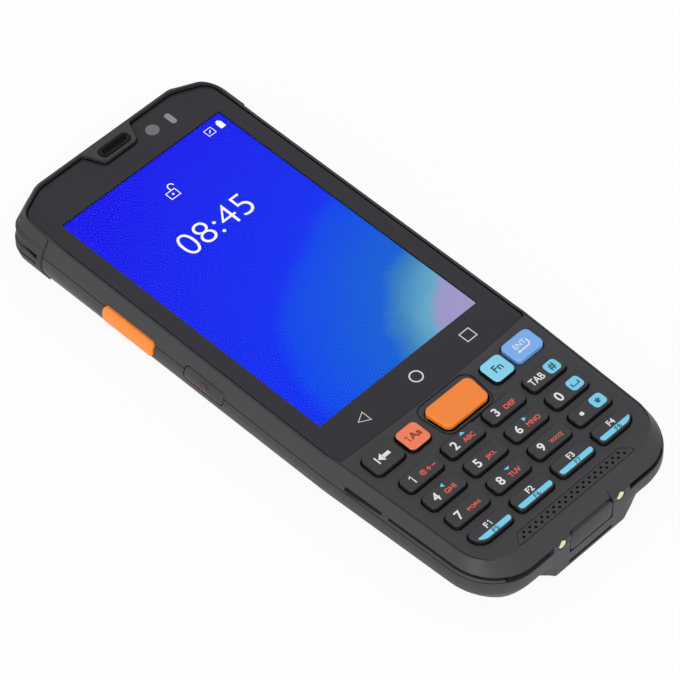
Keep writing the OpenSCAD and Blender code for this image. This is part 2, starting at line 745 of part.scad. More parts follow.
// Housing screws run from the back into the front housing
screw_r = 0.9;
head_r = 1.5;
head_t = 1;
head_z = 2.4;
head_slot = 0.22;
boss_r = 1.7;
rear_boss_r = 2.2;
screw_bite = 2.4;
screw_end = seam_z + screw_bite;
screw_spots = [
    [body_w / 2 - 9.55, top_y - 7.2],
    [body_w / 2 - 6.85, row_yy(3) + key_hole_h / 2 + flange_w + 0.75]
];
module at_screws() both_x() for (s = screw_spots) translate([s.x, s.y, 0]) children();
module housing_screws() color(metal) at_screws() {
    difference() {
        translate([0, 0, head_z - head_t]) cylinder(r = head_r, h = head_t, $fn = 32);
        for (a = [0, 90]) rotate(a) block(-1, 1, -head_slot, head_slot, 0, head_z - head_t / 2);
    }
    translate([0, 0, head_z - fit]) cylinder(r = screw_r, h = screw_end - head_z, $fn = 32);
}

// The scanner's window and engine
window_z = 6.6;
window_w = 23;
window_h = 7;
window_y = top_y - 2.05;
window_t = 1;
window_lip = 0.9;
engine_hw = 10.5;
engine_h = 6.8;
engine_y0 = top_y - 15.5;
engine_y1 = window_y - window_t - 0.3;
lens_r = 2.4;

// The main board lies on the battery bay, between the rails of the mid frame
main_hw = rail_x - rail_t - 1.25;
main_y1 = engine_y0 - 0.9;
module main_board() color(board_colour) difference() {
    block(-main_hw, main_hw, bay_y0 - bay_wall, main_y1, main_z, main_top);
    both_x() translate([screw_spots[1].x, screw_spots[1].y, 0])
        cylinder(r = rear_boss_r + 0.4, h = far, $fn = 32);
}
link_pad = [16, 3];
link_yy = key_y0 + 19.5;
module board_link() color([0.85, 0.82, 0.75])
    block(-link_pad.x / 2, link_pad.x / 2, link_yy - link_pad.y / 2, link_yy + link_pad.y / 2,
        main_top, membrane_top - membrane_t - board_t);
can_h = 1.4;
can_hw = main_hw - 6.8;
can_gap = 2;
can_l = 24;
module shield_cans() color(metal) {
    block(-can_hw, -can_gap, screen_y - can_l + can_gap, screen_y + can_gap, main_top, main_top + can_h);
    block(can_gap, can_hw, screen_y - can_l / 2, screen_y + can_l / 3, main_top, main_top + can_h);
}
card_w = 15;
card_l = 14;
card_t = 1.5;
module card_socket() color(metal) translate([can_gap + card_w / 2, bay_y1 + card_l - can_gap, 0])
    plate(card_w, card_l, 0.3, main_z - card_t, main_z);

motor_x = -17;
motor_y = tail_y + 13;
motor_r = 4;
motor_h = 3;
module vibration_motor() color(metal) translate([motor_x, motor_y, wall])
    cylinder(r = motor_r, h = motor_h, $fn = 48);

// ---- Scanner end and back ----

module scan_window() color([0.35, 0.02, 0.03]) translate([0, 0, window_z])
    end_plate(window_w, window_h, 1.6, window_y - window_t, window_y);
module scan_window_cut() translate([0, 0, window_z]) {
    end_plate(window_w + 2 * fit, window_h + 2 * fit, 1.7, window_y - 8, window_y);
    end_plate(window_w - 2 * window_lip, window_h - 2 * window_lip, 1.2, window_y - 2, top_y + 3);
}
module scan_engine() color([0.2, 0.2, 0.22]) difference() {
    block(-engine_hw, engine_hw, engine_y0, engine_y1, window_z - engine_h / 2, window_z + engine_h / 2);
    both_x() translate([engine_hw / 2, engine_y1 - 1.7, window_z]) rotate([-90, 0, 0])
        cylinder(r = lens_r, h = 5, $fn = 48);
}
// Two ribs under the scan engine
engine_rib_w = 2;
module engine_rests() both_x()
    block(engine_hw / 2, engine_hw / 2 + engine_rib_w, engine_y0 + 1, engine_y0 + 8, wall - fit,
        window_z - engine_h / 2 - fit);

lens = [-18.5, top_y - 18.25];
flash = [-18.5, top_y - 27.5];
window_r = 4;
flash_r = 1.8;
camera_block = 8.4;
module camera_window() color([0.05, 0.05, 0.06]) translate([lens.x, lens.y, 0.15])
    cylinder(r = window_r, h = 1, $fn = 48);
module rear_camera() color([0.2, 0.2, 0.2]) translate([lens.x, lens.y, 0]) {
    plate(camera_block, camera_block, 0.3, wall + fit, wall + fit + 4);
    translate([0, 0, 1.25]) cylinder(r = 2.8, h = 1, $fn = 48);
}
module flash_lens() color([0.95, 0.93, 0.8]) translate([flash.x, flash.y, 0.15])
    cylinder(r = flash_r, h = 1.2, $fn = 32);

// ---- Housings ----

bumper_x = body_w / 2 - crown_r - 6.9;
bumper_z0 = 1.2;
bumper_z1 = rim_z - 1.7;
bumper_crease = lip_z + 0.3;
module bumper_zone(z0, z1) both_x() block(bumper_x, far, top_y - bumper_l, far, z0, z1);

// How far the bumpers stand out at height z, and how much tighter their corners are than the
// housings'
function bumper_out(z) = lookup(z, [[bumper_crease - 1, bumper_proud],
    [bumper_crease, bumper_proud + 0.27], [bumper_z1, bumper_proud], [rim_z, bumper_proud],
    [crown_z, 0]]);
function bumper_tight(z) = lookup(z, [[bumper_z0, 4], [3.5, 3], [6.3, 1.5], [seam_z, 1.5],
    [bumper_crease, 2.3], [bumper_z1, 2], [rim_z, 0.3], [crown_z, 0]]);
function bumper_ring(z, grow = 0) =
    let (dx = side_in(z) - bumper_out(z) - lean_drift * back_curve(z) - grow,
         dy = top_in(z) - bumper_out(z) - grow)
    both_sides(concat([[body_w / 2 - dx, screen_y]],
        crown_path(body_w / 2, top_y, crown_r - bumper_tight(z), crown_run, crown_ease, dx, dy)));
module bumper_skin(heights) skin_over([for (z = heights) bumper_ring(z)], heights);

bumper_levels = [bumper_z0, 2, 3.5, 5, 6.3, belly_z, cheek_z, seam_z, bumper_crease - 1,
    bumper_crease, bumper_z1];
module bumpers() intersection() {
    bumper_zone(bumper_z0, bumper_z1);
    difference() {
        bumper_skin(bumper_levels);
        body_skin(concat([bumper_z0 - past], bumper_levels, [bumper_z1 + past]), -bumper_sink);
    }
}
// The front housing follows the bumpers above them
module bumper_brow() intersection() {
    bumper_skin([bumper_z1 - past, lip_z + 1.8, rim_z, crown_z]);
    front_envelope();
    bumper_zone(bumper_z1, far);
}
// Two shallow grooves run round each bumper
bumper_groove = [0.5, 0.35];
module bumper_grooves() for (z = [seam_z - 0.7, seam_z - 3.1]) both_x()
    translate([0, 0, z]) linear_extrude(bumper_groove.x) intersection() {
        translate([bumper_x + 2, top_y - bumper_l + 1.6]) square(far);
        difference() {
            square(far);
            polygon(bumper_ring(z, -bumper_groove.y));
        }
    }
module half_space(side) translate([side > 0 ? 0 : -far, -far, -far]) cube([far, 2 * far, 2 * far]);
module corner_bumper(side) color([0.17, 0.17, 0.18]) intersection() {
    difference() {
        bumpers();
        bumper_grooves();
    }
    half_space(side);
}
module corner_bumper_left() corner_bumper(-1);
module corner_bumper_right() corner_bumper(1);

// What is taken off the housings so that the bumpers sit in them
module bumper_cut() difference() {
    bumper_zone(bumper_z0, bumper_z1);
    body_skin(concat([bumper_z0 - past], bumper_levels, [bumper_z1 + past]), -bumper_sink);
}

// The dark groove under the lip of the front housing, round the keypad end
groove_z0 = seam_z + 0.9;
groove_z1 = seam_z + 1.6;
groove_in = 1.9;
groove_start = shoulder_y - 8;
groove_break = tail_y + 34.3;
groove_end = groove_break - 2;
groove_drop = 0.6;
slot_x0 = 12.5;
slot_x1 = 26;
slot_z0 = groove_z1 - 1.75;
slot_in = 1.2;
module outside_of(depth, z0, z1) difference() {
    block(-far, far, -far, far, z0, z1);
    translate([0, 0, z0 - past]) linear_extrude(z1 - z0 + 2 * past)
        polygon(body_outline(depth, depth, depth));
}
module lip_groove() {
    intersection() {
        outside_of(groove_in, groove_z0, groove_z1);
        difference() {
            block(-far, far, -far, groove_end, groove_z0, groove_z1);
            block(-slot_x0, slot_x0, -far, tail_y + 6, groove_z0 - past, groove_z1 + past);
        }
    }
    // It starts as a wedge on each side, and ends as a taller slot beside the flap
    intersection() {
        outside_of(groove_in, seam_z, groove_z1);
        rotate([90, 0, 90]) translate([0, 0, -far / 2]) linear_extrude(far) polygon([
            [groove_break, groove_z0], [groove_start - 1, groove_z0 - groove_drop],
            [groove_start, groove_z0 - 0.3], [groove_start, groove_z1 - 0.2], [groove_start - 0.5, groove_z1],
            [groove_break, groove_z1]]);
    }
    tail_slots(groove_in);
}
module tail_slots(depth) intersection() {
    outside_of(depth, slot_z0, groove_z1);
    both_x() translate([(slot_x0 + slot_x1) / 2, 0, (slot_z0 + groove_z1) / 2])
        end_plate(slot_x1 - slot_x0, groove_z1 - slot_z0, 0.8, -far, tail_y + 8);
}

// The fine line where the front housing meets the rear one
seam_h = 0.2;
seam_in = 0.25;
module seam_line() difference() {
    block(-far, far, -far, far, seam_z - past, seam_z + seam_h);
    linear_extrude(far) polygon(body_outline(side_in(seam_z) + seam_in, seam_in, top_in(seam_z) + seam_in));
}

// A fine line along the edges of the deck, from the glass to the round corners
deck_line_in = 3.2;
deck_line_w = 0.25;
deck_line_t = 0.15;
deck_line_end = tail_y + 5.6;
module deck_line() intersection() {
    block(-far, far, deck_line_end, foot_y + 1, deck_z - deck_line_t, far);
    difference() {
        linear_extrude(far) polygon(body_outline(deck_line_in, deck_line_in, 0));
        linear_extrude(far) polygon(body_outline(deck_line_in + deck_line_w, deck_line_in + deck_line_w, 0));
    }
}

// A thin line cut into the deck around the large scan key
pod_line_w = 0.4;
module scan_pod_shape(grow) translate([0, scan_y + 0.3])
    polygon(trapezoid(17.6 + 2 * grow, 14.6 + 2 * grow, 10.8 + 2 * grow, 2.6 + grow));
module scan_pod_line() translate([0, 0, deck_z - 0.35]) linear_extrude(past) difference() {
    scan_pod_shape(pod_line_w);
    scan_pod_shape(0);
}

// A shallow panel line around the sound holes
module sound_panel_line() translate([0, mesh_y - 0.1, deck_z - 0.2]) linear_extrude(past)
    difference() {
        polygon(trapezoid(33.5, 39.5, 3.2, 0.6));
        polygon(trapezoid(33, 39, 2.8, 0.5));
    }

cavity_in = 3.8;
module front_cavity() intersection() {
    translate([0, 0, seam_z - past]) linear_extrude(deck_under - seam_z + past)
        polygon(body_outline(cavity_in, cavity_in, cavity_in));
    block(-far, far, -far, foot_y - 1.4, 0, far);
}

module key_openings() translate([0, 0, deck_under - past]) linear_extrude(deck_t + 3 * past) {
    for (c = [0:3]) for (r = [0:3]) grid_shape(c, r, 0);
    for (i = [0:4]) top_shape(i, 0);
}

// Ribs under the deck, between the key columns, press on the membrane
module deck_ribs() for (c = [-1:1])
    block(c * column_pitch - 0.4, c * column_pitch + 0.4, key_y0 - 2, key_y0 + 3 * row_pitch + 2,
        membrane_top + 0.05, deck_under + 0.2);

module side_key_cuts() {
    side_key_cut(trigger_yy, trigger_z, trigger_l, trigger_h);
    side_key_cut(power_yy, power_z, power_l, power_h);
    mirror([1, 0, 0]) {
        side_key_cut(volume_yy, volume_z, volume_l, volume_h);
        volume_pivot(fit);
    }
}

// The middle of the connector end stays upright down to the back, and its flanks run out in the
// round corners
block_x = 24;
block_plan = [[10.8, 0], [13.5, 0.3], [16.5, 1], [20, 2], [block_x, 3.4], [block_x, 6]];
block_front = [[9.9, 0.3], [11.6, 1.4], [13.4, 3.2], [15.8, 5], [18.5, 6.4], [21.2, 7.1],
    [block_x, belly_z]];
module tail_block() intersection() {
    rotate([90, 0, 0]) translate([0, 0, -tail_y - 6]) linear_extrude(6)
        polygon(both_sides(concat(block_front, [[block_x, seam_z]])));
    rotate([90, 0, 90]) translate([0, 0, -far / 2]) linear_extrude(far)
        polygon([[tail_y + 6, 0.3], [tail_y + 0.8, 0.3], [tail_y, 1.3], [tail_y, seam_z],
            [tail_y + 6, seam_z]]);
    translate([0, tail_y, 0]) linear_extrude(seam_z) polygon(both_sides(block_plan));
}

module front_housing() color(shell_colour) difference() {
    union() {
        difference() {
            union() {
                intersection() {
                    body_skin(front_levels);
                    front_envelope();
                }
                bumper_brow();
            }
            front_cavity();
            key_openings();
        }
        deck_ribs();
        at_screws() translate([0, 0, seam_z])
            cylinder(r = boss_r, h = deck_under - seam_z + 0.3, $fn = 48);
    }
    // Pocket for the glass, and the opening under it for the display
    translate([0, 0, ledge_z]) linear_extrude(far) difference() {
        polygon(glass_outline(-glass_gap));
        polygon(pod_outline(0));
    }
    block(-panel_w / 2 - fit, panel_w / 2 + fit, panel_y0 - fit, panel_y1 + fit, seam_z - past,
        ledge_z + fit);
    // Earpiece, camera and sensor
    translate([0, ear_y, 0]) {
        plate(ear_w, ear_h, 1.4, ear_mesh_z, far);
        plate(ear_w - 1.2, ear_h - 1, 0.9, ear_pocket_z - past, far);
        plate(11.2, 4.6, 1, seam_z - past, ear_pocket_z);
    }
    translate([camera_x, camera_y, seam_z - past]) cylinder(r = camera_r + fit, h = 5, $fn = 48);
    translate([sensor_x, sensor_y, 0])
        plate(sensor_w + 2 * fit, sensor_l + 2 * fit, 0.6, seam_z - past, ledge_z + fit);
    at_screws() translate([0, 0, seam_z - past])
        cylinder(r = screw_r + 0.05, h = past + screw_bite + 0.3, $fn = 32);
    sound_holes();
    scan_pod_line();
    sound_panel_line();
    lip_groove();
    seam_line();
    deck_line();
    side_key_cuts();
    usb_flap_cut();
    contact_cuts();
    bumper_cut();
}

module rear_housing() color(shell_colour) difference() {
    union() {
        difference() {
            union() {
                body_skin(rear_levels);
                tail_block();
            }
            body_skin([wall, 3.5, 5, 6.3, belly_z, cheek_z, seam_z + past], -wall);
        }
        // Walls of the battery bay, rests for the connector board and screw bosses
        difference() {
            block(-bay_hw - bay_wall, bay_hw + bay_wall, bay_y0 - bay_wall, bay_y1 + bay_wall, door_t, bay_z);
            block(-bay_hw, bay_hw, bay_y0, bay_y1, -past, far);
        }
        both_x() {
            block(7, 9, tail_y + 7, tail_y + 17, wall - fit, link_z - board_t);
            translate([door_screw.x, door_screw.y, door_t]) cylinder(r = 2.2, h = small_l, $fn = 48);
        }
        at_screws() translate([0, 0, wall - fit])
            cylinder(r = rear_boss_r, h = seam_z - wall + fit, $fn = 48);
        engine_rests();
    }
    translate([0, (door_y0 + door_y1) / 2, 0])
        plate(2 * (door_hw + fit), door_y1 - door_y0 + 2 * fit, door_r, -past, door_t);
    block(-bay_hw, bay_hw, bay_y0, bay_y1, -past, bay_z + fit);
    at_screws() {
        translate([0, 0, -past]) cylinder(r = head_r + fit, h = head_z + past, $fn = 48);
        cylinder(r = screw_r + 0.15, h = far, $fn = 32);
    }
    at_door_screws() cylinder(r = small_r + 0.05, h = small_l + 0.5, $fn = 32);
    both_x() block(tab_x0 - fit, tab_x1 + fit, bay_y1 - past, bay_y1 + tab_reach + fit, wall,
        tab_z + tab_t + fit);
    translate([lens.x, lens.y, 0]) {
        translate([0, 0, -past]) cylinder(r = window_r + fit, h = 1.15 + past, $fn = 48);
        cylinder(r = 3, h = 5, $fn = 48);
    }
    translate([flash.x, flash.y, -past]) cylinder(r = flash_r + fit, h = 5, $fn = 32);
    // Slot under the flap, for a strap
    block(-7.1, 7.1, tail_y - past, tail_y + 1.6, 2.1, 3.1);
    scan_window_cut();
    tail_slots(slot_in);
    side_key_cuts();
    usb_flap_cut();
    contact_cuts();
    bumper_cut();
}

front_housing();
rear_housing();
corner_bumper_left();
corner_bumper_right();
cover_glass();
display_panel();
mid_frame();
earpiece_grille();
earpiece_speaker();
front_camera();
light_sensor();
key_back();
key_shift();
key_scan();
key_fn();
key_enter();
key_1();
key_2();
key_3();
key_tab();
key_4();
key_5();
key_6();
key_0();
key_7();
key_8();
key_9();
key_dot();
key_f1();
key_f2();
key_f3();
key_f4();
keypad_membrane();
keypad_board();
board_link();
main_board();
shield_cans();
card_socket();
battery_pack();
battery_door();
door_screws();
housing_screws();
scan_engine();
scan_window();
rear_camera();
camera_window();
flash_lens();
vibration_motor();
loudspeaker();
speaker_mesh();
usb_connector();
connector_board();
usb_flap();
charge_contacts();
side_scan_button();
power_button();
side_key_board();
volume_rocker();
volume_board();
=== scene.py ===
# %% [markdown]
# # Dressing a rugged keypad terminal
# The terminal's solids come from CAD with exact sizes and joints, but with sharp edges and no
# finish. This lesson gives each visible piece its softened edges, its plastic, glass, rubber or
# metal, and prints the legends on the keys. Sizes are in metres, so a millimetre gets a name.

# %% Load the solids
import json
import math

import bmesh
import bpy
from mathutils import Matrix, Quaternion, Vector

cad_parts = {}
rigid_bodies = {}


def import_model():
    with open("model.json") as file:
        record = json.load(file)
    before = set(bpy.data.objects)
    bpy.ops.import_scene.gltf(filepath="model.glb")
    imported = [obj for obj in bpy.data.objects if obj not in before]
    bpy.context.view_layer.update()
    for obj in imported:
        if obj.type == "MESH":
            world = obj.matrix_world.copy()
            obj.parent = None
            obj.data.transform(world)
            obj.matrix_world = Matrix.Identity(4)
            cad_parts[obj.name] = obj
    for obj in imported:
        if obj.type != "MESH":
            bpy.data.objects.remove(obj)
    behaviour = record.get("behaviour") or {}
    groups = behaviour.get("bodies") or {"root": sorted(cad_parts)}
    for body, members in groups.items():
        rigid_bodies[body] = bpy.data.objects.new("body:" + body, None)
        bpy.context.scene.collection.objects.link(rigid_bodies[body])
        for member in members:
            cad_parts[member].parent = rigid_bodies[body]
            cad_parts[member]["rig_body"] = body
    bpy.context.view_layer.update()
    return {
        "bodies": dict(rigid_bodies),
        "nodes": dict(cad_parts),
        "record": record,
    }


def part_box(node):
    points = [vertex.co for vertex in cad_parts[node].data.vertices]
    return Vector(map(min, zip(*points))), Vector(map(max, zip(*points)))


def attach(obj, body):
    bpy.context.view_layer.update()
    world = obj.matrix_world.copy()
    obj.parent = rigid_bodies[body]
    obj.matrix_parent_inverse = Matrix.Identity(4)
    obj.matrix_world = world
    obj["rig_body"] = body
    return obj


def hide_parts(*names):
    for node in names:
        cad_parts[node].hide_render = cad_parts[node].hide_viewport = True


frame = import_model()
MM = 0.001

# %% [markdown]
# ## The camera
# A product shot is taken from far away with a long lens, so that the sides stay nearly parallel.
# The camera looks at one point of the screen, and a half degree of roll finishes the framing.

# %% Place the camera
def point(x, y, z):
    """A place given in millimetres."""
    return Vector((x, y, z)) * MM


def add(obj):
    """Puts an object in the scene and gives it back."""
    bpy.context.scene.collection.objects.link(obj)
    return obj


camera_at = point(-419.8, -423.0, 728.0)
aimed_at = point(-4.2, -5.1, 14.4)
camera_roll = -0.51
camera = add(bpy.data.objects.new("Camera", bpy.data.cameras.new("Camera")))
camera.data.lens = 211.8
camera.data.sensor_width = 36
camera.data.clip_start = 0.05
camera.location = camera_at
camera.rotation_mode = "QUATERNION"
camera.rotation_quaternion = ((aimed_at - camera_at).to_track_quat("-Z", "Y")
                              @ Quaternion((0, 0, 1), math.radians(camera_roll)))
bpy.context.scene.camera = camera
print("camera distance, m:", round((aimed_at - camera_at).length, 3))

# %% [markdown]
# ## Shader maths as sums
# A material is a small graph of nodes. Placing each Math node by hand hides the formula, so a
# wrapper round a socket turns + - * / < > into those nodes, and one method makes every other node.

# %% A value inside a finish
class Value:
    """One output socket, so that maths on it is written as maths."""

    def __init__(self, finish, socket):
        self.finish = finish
        self.socket = socket

    def maths(self, operation, first, second):
        return self.finish.node("ShaderNodeMath", {"operation": operation}, {0: first, 1: second})

    def __add__(self, other):
        return self.maths("ADD", self, other)

    def __sub__(self, other):
        return self.maths("SUBTRACT", self, other)

    def __rsub__(self, other):
        return self.maths("SUBTRACT", other, self)

    def __mul__(self, other):
        return self.maths("MULTIPLY", self, other)

    def __truediv__(self, other):
        return self.maths("DIVIDE", self, other)

    def __lt__(self, other):
        return self.maths("LESS_THAN", self, other)

    def __abs__(self):
        return self.maths("ABSOLUTE", self, 0)

    __radd__ = __add__
    __rmul__ = __mul__


# %% A finish
def srgb(red, green, blue):
    """A colour picked on a screen, as the linear colour that shaders mix."""
    def linear(level):
        level /= 255
        return level / 12.92 if level <= 0.04045 else ((level + 0.055) / 1.055) ** 2.4
    return (linear(red), linear(green), linear(blue), 1)


class Finish:
    """A material built round one Principled surface."""

    def __init__(self, name, **surface):
        self.material = bpy.data.materials.new(name)
        self.material.use_nodes = True
        self.tree = self.material.node_tree
        self.surface = self.tree.nodes["Principled BSDF"]
        self.output = self.tree.nodes["Material Output"]
        self.set(**surface)

    def plug(self, socket, value):
        if isinstance(value, Value):
            self.tree.links.new(value.socket, socket)
        else:
            socket.default_value = value

    def set(self, **surface):
        for name, value in surface.items():
            self.plug(self.surface.inputs[name.replace("_", " ").title().replace("Ior", "IOR")], value)

    def node(self, kind, settings, inputs, out=0):
        made = self.tree.nodes.new(kind)
        for name, value in settings.items():
            setattr(made, name, value)
        for name, value in inputs.items():
            self.plug(made.inputs[name], value)
        return Value(self, made.outputs[out])

    def place(self):
        return self.node("ShaderNodeTexCoord", {}, {}, "Object")

    def axes(self):
        place = self.place()
        return [self.node("ShaderNodeSeparateXYZ", {}, {0: place}, out) for out in range(3)]

    def noise(self, size, detail=2, roughness=0.5):
        """Noise whose blobs are about this size."""
        return self.node("ShaderNodeTexNoise", {},
                         {"Vector": self.place(), "Scale": 1 / size, "Detail": detail,
                          "Roughness": roughness})

    def mix(self, mask, first, second):
        return self.node("ShaderNodeMix", {"data_type": "RGBA"}, {0: mask, 6: first, 7: second}, 2)

    def clamp(self, value):
        return self.node("ShaderNodeClamp", {}, {0: value})

    def relief(self, height, depth, strength=1.0):
        """Bumps of this depth, where height goes from 0 to 1."""
        self.set(Normal=self.node("ShaderNodeBump", {}, {"Strength": strength, "Distance": depth,
                                                         "Height": height}))

# %% [markdown]
# ## Moulded plastic, rubber and metal
# Housings like these leave the mould with a fine sparked grain: tiny bumps that spread the
# highlights. One recipe serves them all. A fine noise raises the grain, a broad noise shifts the
# colour and the gloss a little, as handling does, so no surface is one flat colour.

# %% Moulded finishes
def moulded(name, colour, roughness=0.5, grain=0.16 * MM, depth=0.012 * MM, spread=0.06):
    """Plastic or rubber with a sparked grain."""
    finish = Finish(name, specular_ior_level=0.5)
    broad = finish.noise(14 * MM, detail=4)
    fine = finish.noise(grain, detail=1)
    darker = tuple(level * (1 - spread) for level in colour[:3]) + (1,)
    paler = tuple(min(1, level * (1 + spread)) for level in colour[:3]) + (1,)
    speckle = finish.clamp(broad * 0.7 + fine * 0.3)
    finish.set(base_color=finish.mix(speckle, darker, paler))
    finish.set(roughness=finish.clamp(roughness + (broad - 0.5) * 0.16))
    finish.relief(fine, depth)
    return finish


shell_plastic = moulded("shell plastic", srgb(49, 49, 54), roughness=0.52)
bumper_rubber = moulded("bumper rubber", srgb(45, 45, 50), roughness=0.62, depth=0.016 * MM)
flap_rubber = moulded("flap rubber", srgb(46, 46, 50), roughness=0.6)
cap_black = moulded("black key plastic", srgb(44, 44, 49), roughness=0.45, depth=0.008 * MM)
# Painted shade: near black for the caps' sides, standing in for the shadow in the gap round each cap
cap_side_and_painted_shade = moulded("key side plastic and painted shade", srgb(15, 15, 17), roughness=0.6, depth=0.006 * MM)
cap_orange = moulded("orange key plastic", srgb(254, 136, 44), roughness=0.45, grain=0.22 * MM,
                     depth=0.022 * MM, spread=0.03)
cap_salmon = moulded("salmon key plastic", srgb(248, 128, 88), roughness=0.42, depth=0.005 * MM,
                     spread=0.03)
cap_cyan = moulded("cyan key plastic", srgb(134, 218, 246), roughness=0.42, depth=0.005 * MM,
                   spread=0.03)
cap_blue = moulded("blue key plastic", srgb(126, 178, 246), roughness=0.42, depth=0.005 * MM,
                   spread=0.03)
battery_wrap = moulded("battery wrap", srgb(34, 34, 37), roughness=0.4)
socket_plastic = moulded("connector plastic", srgb(222, 214, 192), roughness=0.45)
module_plastic = moulded("module plastic", srgb(60, 60, 64), roughness=0.4)


def brushed(name, colour, roughness=0.32):
    """Bare metal, whose gloss changes along fine scratches."""
    finish = Finish(name, base_color=colour, metallic=1.0)
    x, y, z = finish.axes()
    stretched = finish.node("ShaderNodeCombineXYZ", {}, {0: x * 40, 1: y, 2: z})
    scratches = finish.node("ShaderNodeTexNoise", {}, {"Vector": stretched, "Scale": 900, "Detail": 3})
    finish.set(roughness=finish.clamp(roughness + (scratches - 0.5) * 0.25))
    finish.relief(scratches, 0.004 * MM)
    return finish


frame_metal = brushed("cast frame metal", srgb(182, 182, 186))
can_steel = brushed("tinned steel", srgb(190, 190, 192))
gold = brushed("gold plating", srgb(240, 228, 186), roughness=0.3)
black_steel = brushed("blackened steel", srgb(58, 58, 60), roughness=0.38)
mesh_black = brushed("black mesh", srgb(40, 40, 43), roughness=0.45)

# %% [markdown]
# ## Circuit boards
# A board is green lacquer over copper tracks, so its colour follows a coarse pattern of lanes.

# %% Board lacquer
board_lacquer = Finish("board lacquer", roughness=0.3, coat_weight=0.3)
lanes = board_lacquer.node("ShaderNodeTexBrick", {}, {
    "Vector": board_lacquer.place(), "Scale": 240.0, "Mortar Size": 0.06, "Color1": (0, 0, 0, 1),
    "Color2": (0.3, 0.3, 0.3, 1), "Mortar": (1, 1, 1, 1)}, 1)
board_lacquer.set(base_color=board_lacquer.mix(lanes, srgb(22, 84, 52), srgb(38, 120, 74)))

# %% [markdown]
# ## Dressing a solid
# A solid's mesh is loose triangles with knife edges. A copy is merged and its flat areas joined,
# so that a bevel rounds the true edges only. Modelling the shells again by hand would lose the
# exact fit, and a shader trick would leave the outline sharp. Broad level faces are shaded flat,
# because smooth shading would bend the light near their corners.

# %% Copy, merge and round
SHARP = math.radians(28)
BROAD = 6 * MM * MM
LEVEL = 0.9999
MERGE_REACH = 0.002 * MM
FLAT_ENOUGH = math.radians(0.5)


def solid_copy(node):
    """The mesh of a CAD node, merged, with flat areas joined."""
    shape = bmesh.new()
    shape.from_mesh(frame["nodes"][node].data)
    bmesh.ops.remove_doubles(shape, verts=shape.verts, dist=MERGE_REACH)
    bmesh.ops.dissolve_limit(shape, angle_limit=FLAT_ENOUGH, use_dissolve_boundaries=False,
                             verts=shape.verts, edges=shape.edges, delimit=set())
    return shape


def rounded(shape, width, segments=2, chosen=None):
    """Rounds the sharp outer edges of a bmesh, or only the chosen ones."""
    sharp = [edge for edge in shape.edges if len(edge.link_faces) == 2 and edge.is_convex
             and edge.calc_face_angle() > SHARP and (chosen is None or chosen(edge))]
    bmesh.ops.bevel(shape, geom=sharp, offset=width, segments=segments, profile=0.5,
                    affect="EDGES", material=-1, clamp_overlap=False)
    return len(sharp)


def finished(shape, name, finishes, slot, body, replaced=()):
    """Turns a bmesh into a piece with its finishes, and lets it ride on a body."""
    shape.normal_update()
    for face in shape.faces:
        face.smooth = not (abs(face.normal.z) > LEVEL and face.calc_area() > BROAD)
    for edge in shape.edges:
        edge.smooth = len(edge.link_faces) == 2 and edge.calc_face_angle() < SHARP
    mesh = bpy.data.meshes.new(name)
    shape.to_mesh(mesh)
    shape.free()
    for layer in [a.name for a in mesh.attributes if a.name == "custom_normal"]:
        mesh.attributes.remove(mesh.attributes[layer])
    for finish in finishes:
        mesh.materials.append(finish.material)
    piece = add(bpy.data.objects.new(name, mesh))
    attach(piece, body)
    if replaced:
        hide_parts(*replaced)
    return piece


def slot_of(node):
    """The material slot that the record gives a node."""
    rows = frame["record"]["subparts"]
    return next(row["material_slot"] for row in rows if row["node"] == node)


def dress(node, name, finish, rounding=0.0, chosen=None):
    """A rounded copy of a CAD node that stands for it, kept inside the node's box."""
    shape = solid_copy(node)
    if rounding:
        rounded(shape, rounding, chosen=chosen)
        low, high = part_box(node)
        for vert in shape.verts:
            vert.co = [min(max(value, least), most)
                       for value, least, most in zip(vert.co, low, high)]
    return finished(shape, name, [finish], slot_of(node), frame["nodes"][node]["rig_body"], [node])


# %% [markdown]
# ## Housings and bumpers
# The front housing carries the glass and the keys, the rear one the works. Both are satin black,
# with rubber let in at the corners that meet the ground first.

# %% A plastic with painted shade where little light gets in
glass_low, glass_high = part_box("cover_glass")
contact_low, contact_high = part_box("charge_contacts")
shell_x, shell_y, shell_z = shell_plastic.axes()


def between(value, low, high):
    """1 where a value lies between two others."""
    return (value < high) * (1.0 - (value < low))


pocket_gap = 0.4 * MM
beside_glass = abs(shell_x) < glass_high.x + pocket_gap
along_glass = between(shell_y, glass_low.y - pocket_gap, glass_high.y + pocket_gap)
below_glass = between(shell_z, glass_low.z - 0.5 * MM, glass_high.z + 0.15 * MM)
in_pocket = beside_glass * along_glass * below_glass
slot_start = contact_high.x + 1.7 * MM
slot_end = contact_high.x + 15.4 * MM
slot_mouth = contact_low.y + 0.3 * MM
slot_floor = contact_low.y + 6 * MM
slot_height = between(shell_z, contact_low.z + 0.6 * MM, contact_high.z - 0.03 * MM)
slot_depth = (shell_y < slot_floor) * (1.0 - (shell_y < slot_mouth))
in_slot = between(shell_x, slot_start, slot_end) * slot_height * slot_depth
# Painted shade: the walls of the glass pocket and the floor of the right tail slot turn near black,
# standing in for their shadow.
painted_shade = shell_plastic.clamp(in_pocket + in_slot)
open_colour = Value(shell_plastic, shell_plastic.surface.inputs["Base Color"].links[0].from_socket)
shell_plastic.set(base_color=shell_plastic.mix(painted_shade, open_colour, srgb(12, 12, 13)))


# %% Dress the two housings
deck_top = 15.7 * MM
deck_half_width = 28.4 * MM
deck_foot = -71 * MM
deck_head = glass_low.y - 1 * MM


def key_rim(edge):
    """Edges of the deck's top round the key openings."""
    return all(abs(vert.co.z - deck_top) < 0.02 * MM and abs(vert.co.x) < deck_half_width
               and deck_foot < vert.co.y < deck_head for vert in edge.verts)


dress("front_housing", "front_shell", shell_plastic, 0.22 * MM, key_rim)
dress("rear_housing", "rear_shell", shell_plastic)

